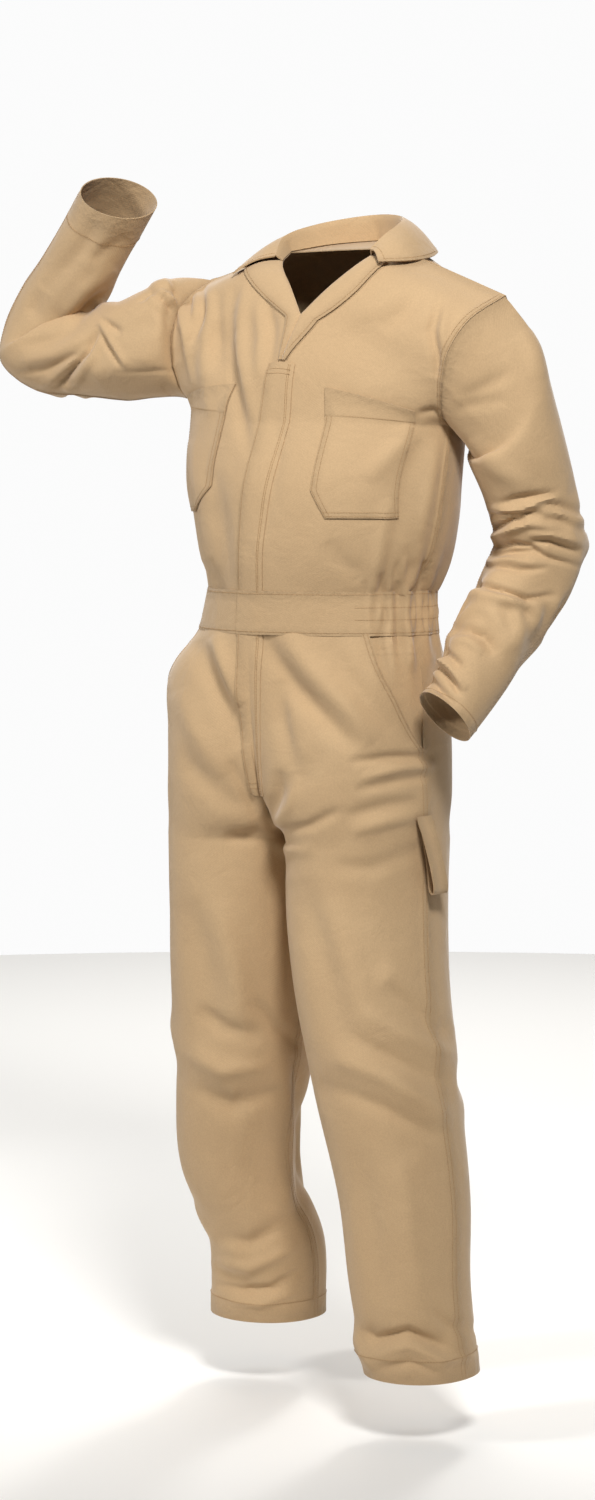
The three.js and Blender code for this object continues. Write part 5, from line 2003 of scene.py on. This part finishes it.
@dataclass
class Studio:
    """A pale plain floor, soft lights and the camera."""

    floor_z: float = -1.493
    floor_radius: float = 4.4
    spot_angle: float = 62
    softness: float = 0.42
    dim: float = 0.2
    bright: float = 0.97
    lens: float = 85.6

    def build(self, paper: bpy.types.Material) -> None:
        """Builds the floor, the lights, the air and the camera.

        Args:
            paper: The floor's material.
        """
        bpy.ops.mesh.primitive_circle_add(vertices=128, radius=self.floor_radius, fill_type="NGON",
                                          location=(0, 0, self.floor_z))
        floor = bpy.context.object
        floor.name = "studio_floor"
        floor.data.materials.append(paper)
        self.spot("key_light", (2.1, -2.0, 1.9), (0.0, 0.0, -0.1), 560)
        self.spot("fill_light", (-2.0, -3.4, 1.2), (-0.25, 0.0, -0.1), 330)
        self.spot("back_light", (-1.5, 4.0, 2.4), (0.0, 0.0, -0.4), 260)
        self.floor_light()
        self.air()
        bpy.context.scene.view_settings.view_transform = "Standard"
        self.camera()

    def air(self) -> None:
        """Surrounds the scene with dim light that is bright behind the suit."""
        world = bpy.data.worlds.new("studio_air")
        bpy.context.scene.world = world
        world.use_nodes = True
        tree = world.node_tree
        away = math.radians(VIEW.azimuth)
        way = add_node(tree, "ShaderNodeTexCoord")
        behind = add_node(tree, "ShaderNodeVectorMath", {"operation": "DOT_PRODUCT"}, {
            0: way.outputs["Object"], 1: (-math.sin(away), math.cos(away), 0)})
        glow = add_node(tree, "ShaderNodeMapRange", {"interpolation_type": "SMOOTHSTEP"}, {
            "Value": behind.outputs["Value"], "From Min": 0.7, "From Max": 0.94,
            "To Min": self.dim, "To Max": self.bright})
        lamp = tree.nodes["Background"]
        lamp.inputs["Color"].default_value = (1, 1, 1, 1)
        tree.links.new(glow.outputs["Result"], lamp.inputs["Strength"])

    def hang(self, name: str, data: bpy.types.ID, place: Sequence[float]) -> bpy.types.Object:
        """Puts a lamp or the camera in its place.

        Args:
            name: Its name.
            data: The lamp's or the camera's data.
            place: Where it is, in metres.

        Returns:
            The object.
        """
        thing = bpy.data.objects.new(name, data)
        thing.location = place
        bpy.context.collection.objects.link(thing)
        return thing

    def spot(self, name: str, place: tuple, at: tuple, power: float) -> None:
        """Adds a soft spotlight that fades from its middle outwards.

        Args:
            name: The lamp's name.
            place: Where it is, in metres.
            at: The point that it shines at.
            power: Its power in watts.
        """
        data = bpy.data.lights.new(name, "SPOT")
        data.energy = power
        data.spot_size = math.radians(self.spot_angle)
        data.spot_blend = 1
        data.shadow_soft_size = self.softness
        way = Vector(at) - Vector(place)
        self.hang(name, data, place).rotation_euler = way.to_track_quat("-Z", "Y").to_euler()

    def floor_light(self) -> None:
        """Adds a wide panel that shines straight down on the floor behind the suit."""
        data = bpy.data.lights.new("floor_light", "AREA")
        data.energy = 90
        data.size = 3.2
        self.hang("floor_light", data, (-1.9, 2.4, 1.6))

    def camera(self) -> None:
        """Adds the camera where the creases' view is taken from."""
        data = bpy.data.cameras.new("camera")
        data.lens = self.lens
        data.sensor_width = 36
        back = VIEW.axes()[2]
        eye = self.hang("camera", data, (np.array(VIEW.target) + back * VIEW.distance) * MM)
        eye.rotation_euler = (-Vector(back)).to_track_quat("-Z", "Y").to_euler()
        bpy.context.scene.camera = eye


def main() -> None:
    """Builds the suit and the studio in order."""
    logging.basicConfig(level=logging.INFO, format="%(message)s")
    cloth = twill_material(Twill())
    suit = Suit(cloth, StitchTree(plain_material(Thread())))
    Bodice(suit).build()
    Trousers(suit).build()
    Waistband(suit).build()
    for side in Side:
        Sleeve(suit, side).build()
        ChestPocket(suit, side).build()
        Lapel(suit, side).build()
    fronts, legs = ({side: panels[(Face.FRONT, side)] for side in Side}
                    for panels in (suit.bodice, suit.trousers))
    FrontStrip(suit, "placket_cloth", "placket", fronts, 18, PLACKET_START, BREAK_AT, (0.036, 0.33)).build()
    FrontStrip(suit, "fly_cloth", "fly", legs, 17, FLY_START, FLY_END, (0.034, 0.2)).build()
    Collar(suit).build()
    StrapLoop(suit).build()
    Studio().build(plain_material(Paper()))


if __name__ == "__main__":
    main()
